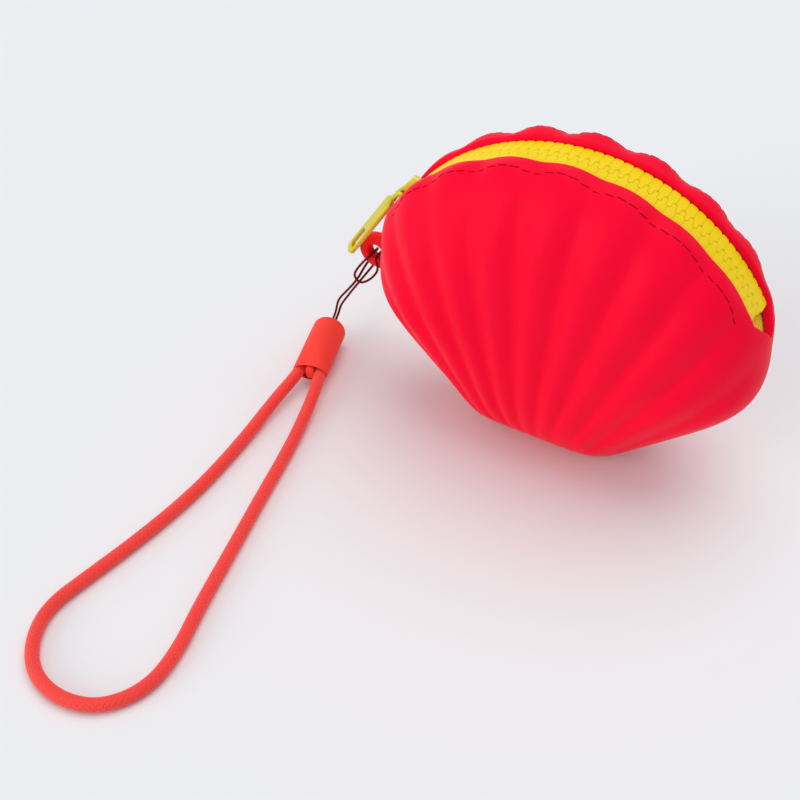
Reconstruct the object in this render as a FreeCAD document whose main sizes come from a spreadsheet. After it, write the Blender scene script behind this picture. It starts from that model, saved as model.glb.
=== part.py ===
import FreeCAD, Part
import math
import os
import Sketcher

# Scallop-shell coin purse of soft silicone, with a curved zip and a wrist strap.
# Millimetres. X is the width, -Y the front, +Z up. The origin is the middle of the base, on the table.
# Angles along the zip are turned about Y from straight up, positive to the right.

# Driving sizes: name, value, meaning
SIZES = (
    ("apex_depth", 18.0, "depth below the base of the point where the ribs meet"),
    ("base_half_length", 20.0, "half the length of the base"),
    ("base_half_depth", 5.5, "half the depth of the flat that the purse stands on"),
    ("top_centre_height", 27.3, "height of the centre of the top edge and of the zip"),
    ("top_radius", 60.0, "radius of the top edge in the parting plane"),
    ("side_share", 0.9, "half the width, as a share of the radius of the top edge"),
    ("half_depth", 23.0, "depth of one valve at its fullest point"),
    ("bulge_height", 45.0, "height of the fullest point"),
    ("fullness_power", 3.2, "how square the bulge of a valve is"),
    ("corner_power", 16.0, "how tight the corners of the outline are"),
    ("base_corner_power", 30.0, "how tight the two corners of the base are"),
    ("wall", 2.0, "thickness of the silicone"),
    ("rib_count", 11.0, "ribs on a valve"),
    ("rib_depth", 1.3, "depth of the valleys between ribs"),
    ("lobe_rise", 0.6, "rise and fall of the scalloped shoulder"),
    ("mouth_half_gap", 4.5, "half the gap between the lips"),
    ("mouth_half_angle", 58.5, "where the mouth starts to narrow"),
    ("mouth_taper", 7.0, "length of each narrowing end of the mouth"),
    ("lip_half_angle", 63.8, "where the lips run out into the sides"),
    ("lip_drop", 3.0, "how far the edges of the lips lie below the top edge"),
    ("lip_wall", 2.2, "thickness of the lips"),
    ("shoulder_drop", 1.8, "how far the shoulder of the lips lies below the top edge"),
    ("shoulder_offset", 10.0, "distance of the shoulder from the parting plane"),
    ("tape_thickness", 0.5, "thickness of the zip tape"),
    ("tape_gap", 0.2, "gap between a tape and the silicone over it"),
    ("tape_edge", 0.9, "distance of a tape's edge from the middle of the zip"),
    ("tape_half_width", 7.8, "distance of a tape's outer edge from the middle of the zip"),
    ("tape_half_angle", 57.0, "half the angle that the tapes span"),
    ("tooth_pitch", 2.5, "distance from tooth to tooth"),
    ("tooth_width", 1.05, "width of a tooth along the zip"),
    ("tooth_height", 2.4, "height of a tooth"),
    ("tooth_reach", 3.0, "distance of a tooth's outer end from the middle of the zip"),
    ("tooth_overlap", 0.5, "how far a tooth reaches past the middle of the zip"),
    ("fit_gap", 0.05, "gap between a tape and the pieces clamped on it"),
    ("stop_length", 1.1, "length of the stops along the zip"),
    ("stop_height", 2.0, "height of the stops"),
    ("stop_reach", 2.6, "distance of a stop's outer end from the middle of the zip"),
    ("slider_rest_angle", -50.8, "place of the slider when the zip is shut"),
    ("slider_half_length", 4.1, "half the length of the slider"),
    ("slider_half_width", 4.0, "half the width of the slider"),
    ("slider_gap", 0.2, "gap between the slider and the teeth, stops and tapes"),
    ("wing_thickness", 0.8, "thickness of the slider's upper and lower plates"),
    ("neck_length", 1.6, "length of the slider's neck along the zip"),
    ("neck_half_width", 0.45, "half the width of the slider's neck"),
    ("bridge_half_width", 0.8, "half the width of the slider's bridge"),
    ("bridge_thickness", 0.8, "thickness of the bridge's bars"),
    ("bridge_foot", 1.6, "distance of the bridge's right foot from the middle of the slider"),
    ("pivot_length", 2.2, "length of the bridge's window for the pull"),
    ("pivot_radius", 0.6, "radius of the pull's cross bar"),
    ("pivot_gap", 0.1, "gap between the cross bar and the bridge"),
    ("pull_gap", 0.35, "gap between the pull's cheeks and the bridge or slider"),
    ("pull_cheek", 0.9, "thickness of each cheek of the pull"),
    ("pull_cheek_height", 2.0, "height of the cheeks around the cross bar"),
    ("pull_neck", 4.2, "distance from the cross bar to the pull's flat bar"),
    ("pull_length", 30.2, "distance from the cross bar to the pull's far end"),
    ("pull_width", 3.6, "width of the pull's flat bar"),
    ("pull_thickness", 1.4, "thickness of the pull's flat bar"),
    ("pull_offset", 1.1, "how far the flat bar lies outside the cross bar"),
    ("pull_slot_width", 1.7, "width of the oblong hole in the pull"),
    ("pull_slot_length", 8.5, "length of the oblong hole in the pull"),
    ("pull_slot_margin", 2.2, "distance of the oblong hole from the pull's far end"),
    ("pull_rest_angle", 32.8, "lean of the pull at rest"),
    ("pull_roll_angle", 15.0, "turn of the flat bar about its length"),
    ("stitch_pitch", 3.0, "distance from stitch to stitch"),
    ("stitch_length", 2.1, "length of a stitch"),
    ("stitch_radius", 0.25, "radius of the thread"),
    ("stitch_setback", 2.7, "distance of the stitches from the edge of the lip"),
    ("stitch_half_angle", 55.0, "half the angle that the stitches span"),
    ("lug_height", 34.6, "height of the hole in the lug"),
    ("lug_reach", 6.45, "distance of that hole from the side of the purse"),
    ("lug_radius", 5.2, "outer radius of the lug"),
    ("lug_hole_radius", 2.1, "radius of the hole in the lug"),
    ("lug_thickness", 3.2, "thickness of the lug"),
    ("lug_setback", 2.4, "distance of the lug behind the parting plane"),
    ("lug_root_half", 6.9, "half the height of the lug's root"),
    ("lug_root_depth", 1.0, "how deep the lug's root runs into the rear valve"),
    ("string_diameter", 0.7, "diameter of the string"),
    ("cord_diameter", 3.4, "diameter of the wrist cord"),
    ("sleeve_length", 20.5, "length of the ferrule"),
    ("sleeve_radius", 4.9, "outer radius of the ferrule"),
    ("sleeve_mouth_radius", 5.1, "outer radius of the ferrule at its mouth"),
    ("sleeve_wall", 0.35, "wall of the ferrule at its mouth"),
    ("sleeve_bore", 4.1, "radius of the ferrule's bore"),
    ("sleeve_flare", 6.0, "length of the ferrule's widening mouth"),
    ("sleeve_cap", 2.5, "thickness of the ferrule's closed end"),
    ("sleeve_round", 1.1, "rounding of the ferrule's closed end"),
    ("sleeve_hole", 1.3, "radius of the string's hole in the ferrule"),
    ("sleeve_mouth_offset", 7.4, "distance of the ferrule's mouth from the lug's hole, across"),
    ("sleeve_mouth_y", -22.0, "place of the ferrule's mouth in depth"),
    ("sleeve_axis_height", 5.2, "height of the ferrule's axis"),
    ("sleeve_heading_angle", 16.1, "turn of the ferrule about the vertical"),
    ("knot_radius", 2.2, "radius of the knot in the ferrule"),
    ("plug_half_width", 0.7, "half the width of the plug between the cord's ends"),
    ("plug_depth", 3.0, "how far the plug sits in the ferrule"),
    ("plug_proud", 0.5, "how far the plug stands out of the ferrule"),
    ("overrun", 2.0, "how far cutting shapes run past what they cut"),
)

# Places along the strap, across from the lug's hole. The string runs from its knot up behind the lug,
# through its hole to the front, round the two standing strands in a hitch, back through the hole and down.
STRING_ROUTE = (
    (-12.5, -5.3, 5.4), (-15.1, 3.7, 5.4), (-15.3, 5.4, 8.9), (-13.3, 4.1, 12.6), (-10.1, 3.0, 17.0),
    (-6.2, 2.7, 22.7), (-4.8, 5.4, 27.1), (-2.7, 6.5, 30.6), (-1.0, 6.5, 33.8), (-0.9, 1.4, 33.8),
    (-3.0, 1.5, 31.2), (-5.7, 1.6, 27.2), (-6.7, 1.5, 24.6), (-4.7, 1.3, 22.9), (-2.3, 1.4, 24.2),
    (0.2, 1.6, 27.0), (1.7, 1.5, 30.2), (0.5, 1.4, 33.4), (0.4, 6.5, 33.4), (-1.0, 6.5, 30.0),
    (-3.1, 5.6, 26.4), (-5.3, 2.9, 22.6), (-8.5, 3.0, 17.5), (-11.5, 3.7, 12.6), (-14.0, 5.2, 8.6),
    (-14.4, 3.9, 5.0), (-11.85, -5.0, 5.1),
)

# The wrist cord leaves the ferrule, comes down to the table, and returns beside itself.
CORD_ROUTE = (
    (-11.8, -14.9, 5.2), (-10.3, -22.8, 5.0), (-11.0, -34.0, 3.2), (-10.0, -52.5, 1.75),
    (-9.5, -73.0, 1.75), (-11.8, -93.0, 1.75), (-15.0, -109.5, 1.75), (-17.2, -121.5, 1.75),
    (-14.0, -130.8, 1.75), (-7.3, -137.8, 1.75), (2.6, -140.2, 1.75), (12.3, -137.2, 1.75),
    (18.0, -128.0, 1.75), (17.6, -116.5, 1.75), (14.1, -103.5, 1.75), (10.3, -85.0, 1.75),
    (6.2, -66.0, 1.75), (2.7, -48.5, 1.75), (-0.5, -35.0, 2.6), (-2.6, -27.0, 4.2), (-4.5, -21.2, 5.0),
    (-6.9, -14.8, 5.2),
)

# Share of the shorter run that an arc of a cord takes up
ARC_SHARE = 0.45
SAMPLES_PER_RIB = 5
FORM_ROWS = 27
FRONT = -1
REAR = 1
AXIS_Y = FreeCAD.Vector(0, 1, 0)

doc = FreeCAD.newDocument("shell_purse")
sheet = doc.addObject("Spreadsheet::Sheet", "Sizes")
for row, (alias, value, meaning) in enumerate(SIZES, start=1):
    sheet.set(f"A{row}", meaning)
    sheet.set(f"B{row}", str(value))
    sheet.setAlias(f"B{row}", alias)
doc.recompute()


def size(alias):
    """One value of the sheet."""
    return float(sheet.get(alias))


def bound(expression):
    """The expression with the sheet's name before each alias, ready to bind."""
    words = {alias for alias, value, meaning in SIZES}
    text = ""
    word = ""
    for letter in expression + " ":
        if letter.isalnum() or letter == "_":
            word += letter
            continue
        text += ("Sizes." + word if word in words else word) + letter
        word = ""
    return text.strip()


def value_of(expression):
    """What a sum of the sheet's values comes to."""
    return float(sheet.evalExpression(bound(expression)))


# Sums of sizes that several pieces share, as expressions
LIP_RADIUS = "(top_radius - lip_drop)"
SHOULDER_RADIUS = "(top_radius - shoulder_drop)"
TAPE_RADIUS = f"({LIP_RADIUS} - lip_wall - tape_gap - tape_thickness / 2)"
WING_UNDER = f"({TAPE_RADIUS} + tooth_height / 2 + slider_gap)"
WING_TOP = f"({WING_UNDER} + wing_thickness)"
PIVOT_BACK = "(slider_half_length + bridge_thickness + pivot_length / 2)"
PIVOT_RADIUS = f"({WING_TOP} + pivot_radius + pivot_gap)"
PULL_HALF = "(bridge_half_width + pull_gap + pull_cheek)"
LIP_SLOPE = "((lip_drop - shoulder_drop) / (shoulder_offset - mouth_half_gap))"
TOOTH_ANGLE = f"(tooth_pitch / {TAPE_RADIUS} * 180 / pi)"
STITCH_ANGLE = f"(stitch_pitch / {LIP_RADIUS} * 180 / pi)"
SLIDER_ANGLE = f"(slider_half_length / {TAPE_RADIUS} * 180 / pi)"
NECK_ANGLE = f"((neck_length + 2 * slider_gap) / {TAPE_RADIUS} * 180 / pi)"
STOP_ANGLE = f"(stop_length / {TAPE_RADIUS} * 180 / pi)"


# Form of a valve

def base_sink():
    """How far the bulging form runs below the flat that it is cut to."""
    flat_share = (1 - (size("base_half_depth") / size("half_depth")) ** 2) ** (1 / size("fullness_power"))
    return size("bulge_height") * (1 / flat_share - 1)


def flank_angle():
    """Angle from the vertical of the straight flanks, which run to the apex of the ribs."""
    return math.atan2(size("base_half_length"), size("apex_depth"))


def outline_reach(across, upward):
    """Distance from the fullest point to the outline along a unit direction in the parting plane."""
    lift = size("bulge_height") - size("top_centre_height")
    top = math.sqrt(size("top_radius") ** 2 - (lift * across) ** 2) - lift * upward
    flank = flank_angle()
    flank_distance = (size("apex_depth") + size("bulge_height")) * math.sin(flank)
    flank_facing = max(0, abs(across) * math.cos(flank) - upward * math.sin(flank))
    power = size("corner_power")
    half_width = value_of("side_share * top_radius")
    sides = (1 / top, abs(across) / half_width, flank_facing / flank_distance)
    upper = sum(side ** power for side in sides) ** (1 / power)
    lower = max(0, -upward) / (size("bulge_height") + base_sink())
    power = size("base_corner_power")
    return (upper ** power + lower ** power) ** (-1 / power)


def rib_wave(x, z):
    """1 on the crest of a rib and -1 in a valley, at a place in the parting plane."""
    fan = math.atan2(x, z + size("apex_depth"))
    return math.cos(math.pi * size("rib_count") * fan / flank_angle())


def edge_reach(across, upward, inset):
    """Distance from the fullest point to the scalloped outline, or to one lying within it by an inset."""
    reach = outline_reach(across, upward)
    top_share = ((1 + upward) / 2) ** 2
    wave = rib_wave(reach * across, size("bulge_height") + reach * upward)
    return reach + size("lobe_rise") * top_share * wave - inset


def fan_place(turn, inset):
    """Fan angle and distance from the apex of the outline, at an angle from straight up."""
    across = math.sin(turn)
    upward = math.cos(turn)
    reach = edge_reach(across, upward, inset)
    height = size("bulge_height") + reach * upward + size("apex_depth")
    return math.atan2(reach * across, height), math.hypot(reach * across, height)


def fan_blend(u, v, inset):
    """A place within the outline. u runs across and v up from the base, each from -1 to 1."""
    base_turn = math.atan2(size("apex_depth") * math.tan(flank_angle()), -size("bulge_height"))
    side_turn = math.pi / 2
    rise_share = (1 + v) / 2
    across_share = (1 + u) / 2
    base_reach = size("apex_depth") * math.tan(u * flank_angle())
    base = fan_place(math.atan2(base_reach, -size("bulge_height")), inset)
    top = fan_place(u * side_turn, inset)
    side = fan_place(base_turn + (side_turn - base_turn) * rise_share, inset)
    low_corner = fan_place(base_turn, inset)
    high_corner = fan_place(side_turn, inset)
    fan = (1 - rise_share) * base[0] + rise_share * top[0]
    fan += (2 * across_share - 1) * (side[0] - (1 - rise_share) * low_corner[0] - rise_share * high_corner[0])
    reach = (1 - rise_share) * base[1] + rise_share * top[1]
    reach += side[1] - (1 - rise_share) * low_corner[1] - rise_share * high_corner[1]
    return reach * math.sin(fan), reach * math.cos(fan) - size("apex_depth")


def valve_point(u, v, side, inset):
    """A point of a valve. u and v run from -1 to 1, and their ends lie on the outline."""
    x, z = fan_blend(math.sin(u * math.pi / 2), math.sin(v * math.pi / 2), inset)
    rise = z - size("bulge_height")
    from_middle = math.hypot(x, rise)
    edge = edge_reach(x / from_middle, rise / from_middle, inset) if from_middle else 1
    spread = min(1, from_middle / edge)
    depth = (size("half_depth") - inset) * math.sqrt(1 - spread ** size("fullness_power"))
    from_apex = math.hypot(x, z + size("apex_depth"))
    taper_share = from_apex / (size("apex_depth") + size("bulge_height"))
    valley_share = (1 - rib_wave(x, z)) / 2
    depth -= size("rib_depth") * valley_share * taper_share * (1 - spread ** 4)
    return FreeCAD.Vector(x, side * max(0, depth), z)


def valve_form(side, inset):
    """Closed half of the purse's form on one side of the parting plane."""
    columns = SAMPLES_PER_RIB * int(size("rib_count")) + 2
    points = []
    for column in range(columns):
        u = 2 * column / (columns - 1) - 1
        heights = [2 * line / (FORM_ROWS - 1) - 1 for line in range(FORM_ROWS)]
        points.append([valve_point(u, v, side, inset) for v in heights])
    for edge in points[0] + points[-1] + [line[0] for line in points] + [line[-1] for line in points]:
        edge.y = 0
    surface = Part.BSplineSurface()
    surface.interpolate(points)
    skin = surface.toShape()
    parting = Part.Face(Part.Wire(Part.__sortEdges__(skin.Edges)))
    form = Part.Solid(Part.Shell([skin, parting]))
    if form.Volume < 0:
        form.reverse()
    return form


def ring(profile, half_angle):
    """Solid of (depth, radius) points turned about the zip's centre, to both sides of the top."""
    centre = FreeCAD.Vector(0, 0, size("top_centre_height"))
    corners = [centre + FreeCAD.Vector(0, depth, radius) for depth, radius in profile]
    face = Part.Face(Part.makePolygon(corners + corners[:1]))
    face.rotate(centre, AXIS_Y, -half_angle)
    return face.revolve(centre, AXIS_Y, 2 * half_angle)


def lip_cut(drop):
    """What is taken off above the lips, or above their inner faces when dropped by their wall."""
    far = size("top_radius") + size("half_depth")
    lip = value_of(LIP_RADIUS) - drop
    shoulder = value_of(SHOULDER_RADIUS) - drop
    gap = size("mouth_half_gap")
    offset = size("shoulder_offset")
    half = ((gap, lip), (offset, shoulder), (offset, far))
    profile = half + tuple((-depth, radius) for depth, radius in reversed(half))
    return ring(profile, size("lip_half_angle"))


def mouth_cut():
    """The gap between the lips, with its two narrowing ends."""
    near = value_of(f"{LIP_RADIUS} - half_depth / 2")
    far = value_of("top_radius + overrun")
    gap = size("mouth_half_gap")
    cut = ring(((-gap, near), (gap, near), (gap, far), (-gap, far)), size("mouth_half_angle"))
    centre = FreeCAD.Vector(0, 0, size("top_centre_height"))
    for hand in (-1, 1):
        corners = [(0, -gap), (0, gap), (hand * size("mouth_taper"), 0)]
        corners = [centre + FreeCAD.Vector(x, y, near) for x, y in corners]
        wedge = Part.Face(Part.makePolygon(corners + corners[:1])).extrude(FreeCAD.Vector(0, 0, far - near))
        wedge.rotate(centre, AXIS_Y, hand * size("mouth_half_angle"))
        cut = cut.fuse(wedge)
    return cut


def tape_cut():
    """Room under the lips for the zip tapes."""
    low = value_of(f"{TAPE_RADIUS} - half_depth / 2")
    high = value_of(f"{LIP_RADIUS} - lip_wall")
    wide = value_of("tape_half_width + tape_gap")
    clear_angle = value_of(f"tape_gap / {LIP_RADIUS} * 180 / pi")
    profile = ((-wide, low), (wide, low), (wide, high), (-wide, high))
    return ring(profile, size("tape_half_angle") + clear_angle)


def valve(side):
    """One hollow valve, flat at the base and open at the mouth."""
    reach = 2 * size("top_radius")
    ground = Part.makeBox(2 * reach, 2 * reach, reach, FreeCAD.Vector(-reach, -reach, -reach))
    hollow = valve_form(side, size("wall")).cut(lip_cut(size("lip_wall")))
    shell = valve_form(side, 0).cut(ground).cut(lip_cut(0))
    return shell.cut(hollow).cut(mouth_cut()).cut(tape_cut())


def add_feature(label, shape):
    """An object of the document that holds a shape made here."""
    feature = doc.addObject("Part::Feature", label)
    feature.Label = label
    feature.Shape = shape
    return feature


# Sketched pieces

def add_body(label):
    """An empty body."""
    body = doc.addObject("PartDesign::Body", label)
    body.Label = label
    return body


def origin_feature(body, role):
    """A plane or an axis of a body's own origin."""
    return next(feature for feature in body.Origin.OriginFeatures if feature.Role == role)


def add_sketch(body, role, name, loops):
    """A sketch of closed polygons, whose corners are pairs of sums of sizes."""
    sketch = body.newObject("Sketcher::SketchObject", name)
    sketch.AttachmentSupport = (origin_feature(body, role), [""])
    sketch.MapMode = "FlatFace"
    for corners in loops:
        first = sketch.GeometryCount
        count = len(corners)
        places = [FreeCAD.Vector(value_of(x), value_of(y), 0) for x, y in corners]
        for index in range(count):
            sketch.addGeometry(Part.LineSegment(places[index], places[(index + 1) % count]))
        for index in range(count):
            after = first + (index + 1) % count
            sketch.addConstraint(Sketcher.Constraint("Coincident", first + index, 2, after, 1))
        for index, (x, y) in enumerate(corners):
            bind_corner(sketch, first + index, "DistanceX", x)
            bind_corner(sketch, first + index, "DistanceY", y)
    return sketch


def bind_corner(sketch, line, kind, expression):
    """Bind one coordinate of the start of a line to a sum of sizes."""
    constraint = Sketcher.Constraint(kind, -1, 1, line, 1, value_of(expression))
    index = sketch.addConstraint(constraint)
    sketch.setExpression(f"Constraints[{index}]", bound(expression))


def add_pad(body, sketch, length, both_sides=True):
    """A pad of a sketch."""
    pad = body.newObject("PartDesign::Pad", sketch.Name + "_pad")
    pad.Profile = sketch
    pad.Midplane = both_sides
    pad.setExpression("Length", bound(length))
    return pad


def add_turn(body, sketch, axis, angle):
    """A sketch turned about one of its own axes, to both sides."""
    turn = body.newObject("PartDesign::Revolution", sketch.Name + "_turn")
    turn.Profile = sketch
    turn.ReferenceAxis = (sketch, [axis])
    turn.Midplane = True
    turn.setExpression("Angle", bound(angle))
    return turn


def add_row(body, original, spacing, count):
    """Copies of a feature along the zip, to the right of the first."""
    row = body.newObject("PartDesign::PolarPattern", original.Name + "_row")
    row.Originals = [original]
    row.Axis = (origin_feature(body, "Y_Axis"), [""])
    row.Mode = "Spacing"
    row.setExpression("Offset", bound(spacing))
    row.setExpression("Occurrences", bound(count))
    body.Tip = row
    return row


def set_on_zip(piece, angle):
    """Place a piece that was made at the top of the zip at an angle along it."""
    piece.Placement = FreeCAD.Placement(FreeCAD.Vector(), FreeCAD.Rotation(AXIS_Y, 1))
    piece.setExpression("Placement.Base.z", bound("top_centre_height"))
    piece.setExpression("Placement.Rotation.Angle", bound(angle))


def clamp_outline(side, outer, inner, height):
    """Outline of a clip that grips a tape's edge: outer and inner ends across, then height."""
    low = f"{TAPE_RADIUS} - {height} / 2"
    high = f"{TAPE_RADIUS} + {height} / 2"
    groove = f"{side} * (tape_edge - fit_gap)"
    under = f"{TAPE_RADIUS} - tape_thickness / 2 - fit_gap"
    over = f"{TAPE_RADIUS} + tape_thickness / 2 + fit_gap"
    outer = f"{side} * {outer}"
    inner = f"{side} * {inner}"
    return [(outer, high), (inner, high), (inner, low), (outer, low),
            (outer, under), (groove, under), (groove, over), (outer, over)]


def add_zip_half(name, side):
    """The tape, teeth and top stop of one side of the zip."""
    tape = add_body(f"{name}_tape")
    low = f"{TAPE_RADIUS} - tape_thickness / 2"
    high = f"{TAPE_RADIUS} + tape_thickness / 2"
    near = f"{side} * tape_edge"
    far = f"{side} * tape_half_width"
    outline = [(near, low), (far, low), (far, high), (near, high)]
    strip = add_sketch(tape, "YZ_Plane", f"{name}_strip", [outline])
    add_turn(tape, strip, "H_Axis", "2 * tape_half_angle")
    set_on_zip(tape, "0")

    teeth = add_body(f"{name}_teeth")
    outline = clamp_outline(side, "tooth_reach", "(0 - tooth_overlap)", "tooth_height")
    tooth = add_pad(teeth, add_sketch(teeth, "YZ_Plane", f"{name}_tooth", [outline]), "tooth_width")
    doc.recompute()
    first = f"(slider_rest_angle - {SLIDER_ANGLE} + {NECK_ANGLE} + {TOOTH_ANGLE} / 2)"
    step = "0" if side == FRONT else f"{TOOTH_ANGLE} / 2"
    last = f"(tape_half_angle - 2 * {STOP_ANGLE})"
    add_row(teeth, tooth, TOOTH_ANGLE, f"floor(({last} - {first} - {TOOTH_ANGLE} / 2) / {TOOTH_ANGLE})")
    set_on_zip(teeth, f"{first} + {step}")

    stop = add_body(f"{name}_top_stop")
    outline = clamp_outline(side, "stop_reach", "(neck_half_width + slider_gap)", "stop_height")
    add_pad(stop, add_sketch(stop, "YZ_Plane", f"{name}_stop", [outline]), "stop_length")
    set_on_zip(stop, f"slider_rest_angle - {SLIDER_ANGLE} + {STOP_ANGLE} / 2")
    return tape, teeth, stop


def add_bottom_stop():
    """The clip that joins the two tapes where the zip ends."""
    stop = add_body("bottom_stop")
    rear = clamp_outline(REAR, "stop_reach", "0", "stop_height")
    front = clamp_outline(FRONT, "stop_reach", "0", "stop_height")
    outline = rear[3:] + rear[:1] + front[:1] + front[:3:-1] + front[3:4]
    add_pad(stop, add_sketch(stop, "YZ_Plane", "joined_stop", [outline]), "stop_length")
    set_on_zip(stop, f"tape_half_angle - {STOP_ANGLE}")
    return stop


def add_slider():
    """The slider's body: two plates with turned-in edges, joined by a neck."""
    slider = add_body("slider_body")
    for name, sign in (("upper_plate", 1), ("lower_plate", -1)):
        slit = f"{TAPE_RADIUS} + {sign} * (tape_thickness / 2 + slider_gap)"
        inside = f"{TAPE_RADIUS} + {sign} * (tooth_height / 2 + slider_gap)"
        outside = f"{TAPE_RADIUS} + {sign} * (tooth_height / 2 + slider_gap + wing_thickness)"
        edge = "tooth_reach + slider_gap"
        outline = [("0 - slider_half_width", slit), ("0 - slider_half_width", outside),
                   ("slider_half_width", outside), ("slider_half_width", slit),
                   (edge, slit), (edge, inside), (f"0 - ({edge})", inside), (f"0 - ({edge})", slit)]
        plate = add_sketch(slider, "YZ_Plane", name, [outline])
        add_turn(slider, plate, "H_Axis", f"2 * {SLIDER_ANGLE}")
    half = "(tooth_height / 2 + slider_gap + wing_thickness / 2)"
    low = f"{TAPE_RADIUS} - {half}"
    high = f"{TAPE_RADIUS} + {half}"
    wide = "neck_half_width"
    thin = "0 - neck_half_width"
    neck = add_sketch(slider, "YZ_Plane", "neck", [[(thin, low), (wide, low), (wide, high), (thin, high)]])
    neck.setExpression("AttachmentOffset.Base.z", bound("slider_gap - slider_half_length"))
    add_pad(slider, neck, "neck_length", both_sides=False)
    set_on_zip(slider, "slider_rest_angle")
    return slider


def add_bridge():
    """The bridge on the slider, with a window that holds the pull's cross bar."""
    bridge = add_body("slider_bridge")
    left = f"0 - {PIVOT_BACK} - pivot_length / 2"
    right = f"0 - {PIVOT_BACK} + pivot_length / 2"
    floor = WING_TOP
    ceiling = f"{WING_TOP} + 2 * (pivot_radius + pivot_gap)"
    top = f"{ceiling} + bridge_thickness"
    nose = f"{left} - bridge_thickness"
    under = f"{floor} - bridge_thickness"
    heel = "0 - slider_half_length - fit_gap"
    outer = [("bridge_foot", floor), ("bridge_foot - bridge_thickness", top), (left, top),
             (nose, ceiling), (nose, under), (heel, under), (heel, floor)]
    window = [(left, floor), (right, floor), (right, ceiling), (left, ceiling)]
    side = add_sketch(bridge, "XZ_Plane", "bridge_side", [outer, window])
    add_pad(bridge, side, "2 * bridge_half_width")
    set_on_zip(bridge, "slider_rest_angle")
    return bridge


def add_stitching(name, side):
    """A row of stitches half sunk in the lip."""
    stitching = add_body(f"{name}_stitching")
    offset = f"{side} * (mouth_half_gap + stitch_setback)"
    surface = f"{LIP_RADIUS} + stitch_setback * {LIP_SLOPE}"
    outline = [(f"{offset} - stitch_radius", f"{surface} - stitch_radius"),
               (f"{offset} + stitch_radius", f"{surface} - stitch_radius"),
               (f"{offset} + stitch_radius", f"{surface} + stitch_radius"),
               (f"{offset} - stitch_radius", f"{surface} + stitch_radius")]
    sketch = add_sketch(stitching, "YZ_Plane", f"{name}_stitch", [outline])
    stitch = add_pad(stitching, sketch, "stitch_length")
    doc.recompute()
    add_row(stitching, stitch, STITCH_ANGLE, f"floor(2 * stitch_half_angle / {STITCH_ANGLE}) + 1")
    set_on_zip(stitching, "0 - stitch_half_angle")
    return stitching


# Pieces made from solids

def add_solid(kind, name, sizes, turn=None):
    """A primitive whose sizes and place are bound to sums of sizes."""
    solid = doc.addObject(kind, name)
    if turn:
        solid.Placement = FreeCAD.Placement(FreeCAD.Vector(), FreeCAD.Rotation(*turn))
    for prop, expression in sizes.items():
        place = f"Placement.Base.{prop}" if prop in "xyz" else prop
        solid.setExpression(place, bound(expression))
    return solid


def add_cylinder(name, radius, length, x="0", y="0", z="0", turn=None):
    """A cylinder along Z, or along another axis when turned."""
    sizes = {"Radius": radius, "Height": length, "x": x, "y": y, "z": z}
    return add_solid("Part::Cylinder", name, sizes, turn)


def add_box(name, length, width, height, x, y, z):
    """A box from its lowest corner."""
    sizes = {"Length": length, "Width": width, "Height": height, "x": x, "y": y, "z": z}
    return add_solid("Part::Box", name, sizes)


def join(name, pieces):
    """Several solids as one."""
    fused = doc.addObject("Part::MultiFuse", name)
    fused.Label = name
    fused.Shapes = pieces
    return fused


def take(name, base, tool):
    """A solid less another."""
    cut = doc.addObject("Part::Cut", name)
    cut.Label = name
    cut.Base = base
    cut.Tool = tool
    return cut


ALONG_Y = (FreeCAD.Vector(1, 0, 0), -90)
ALONG_X = (FreeCAD.Vector(0, 1, 0), 90)


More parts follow.
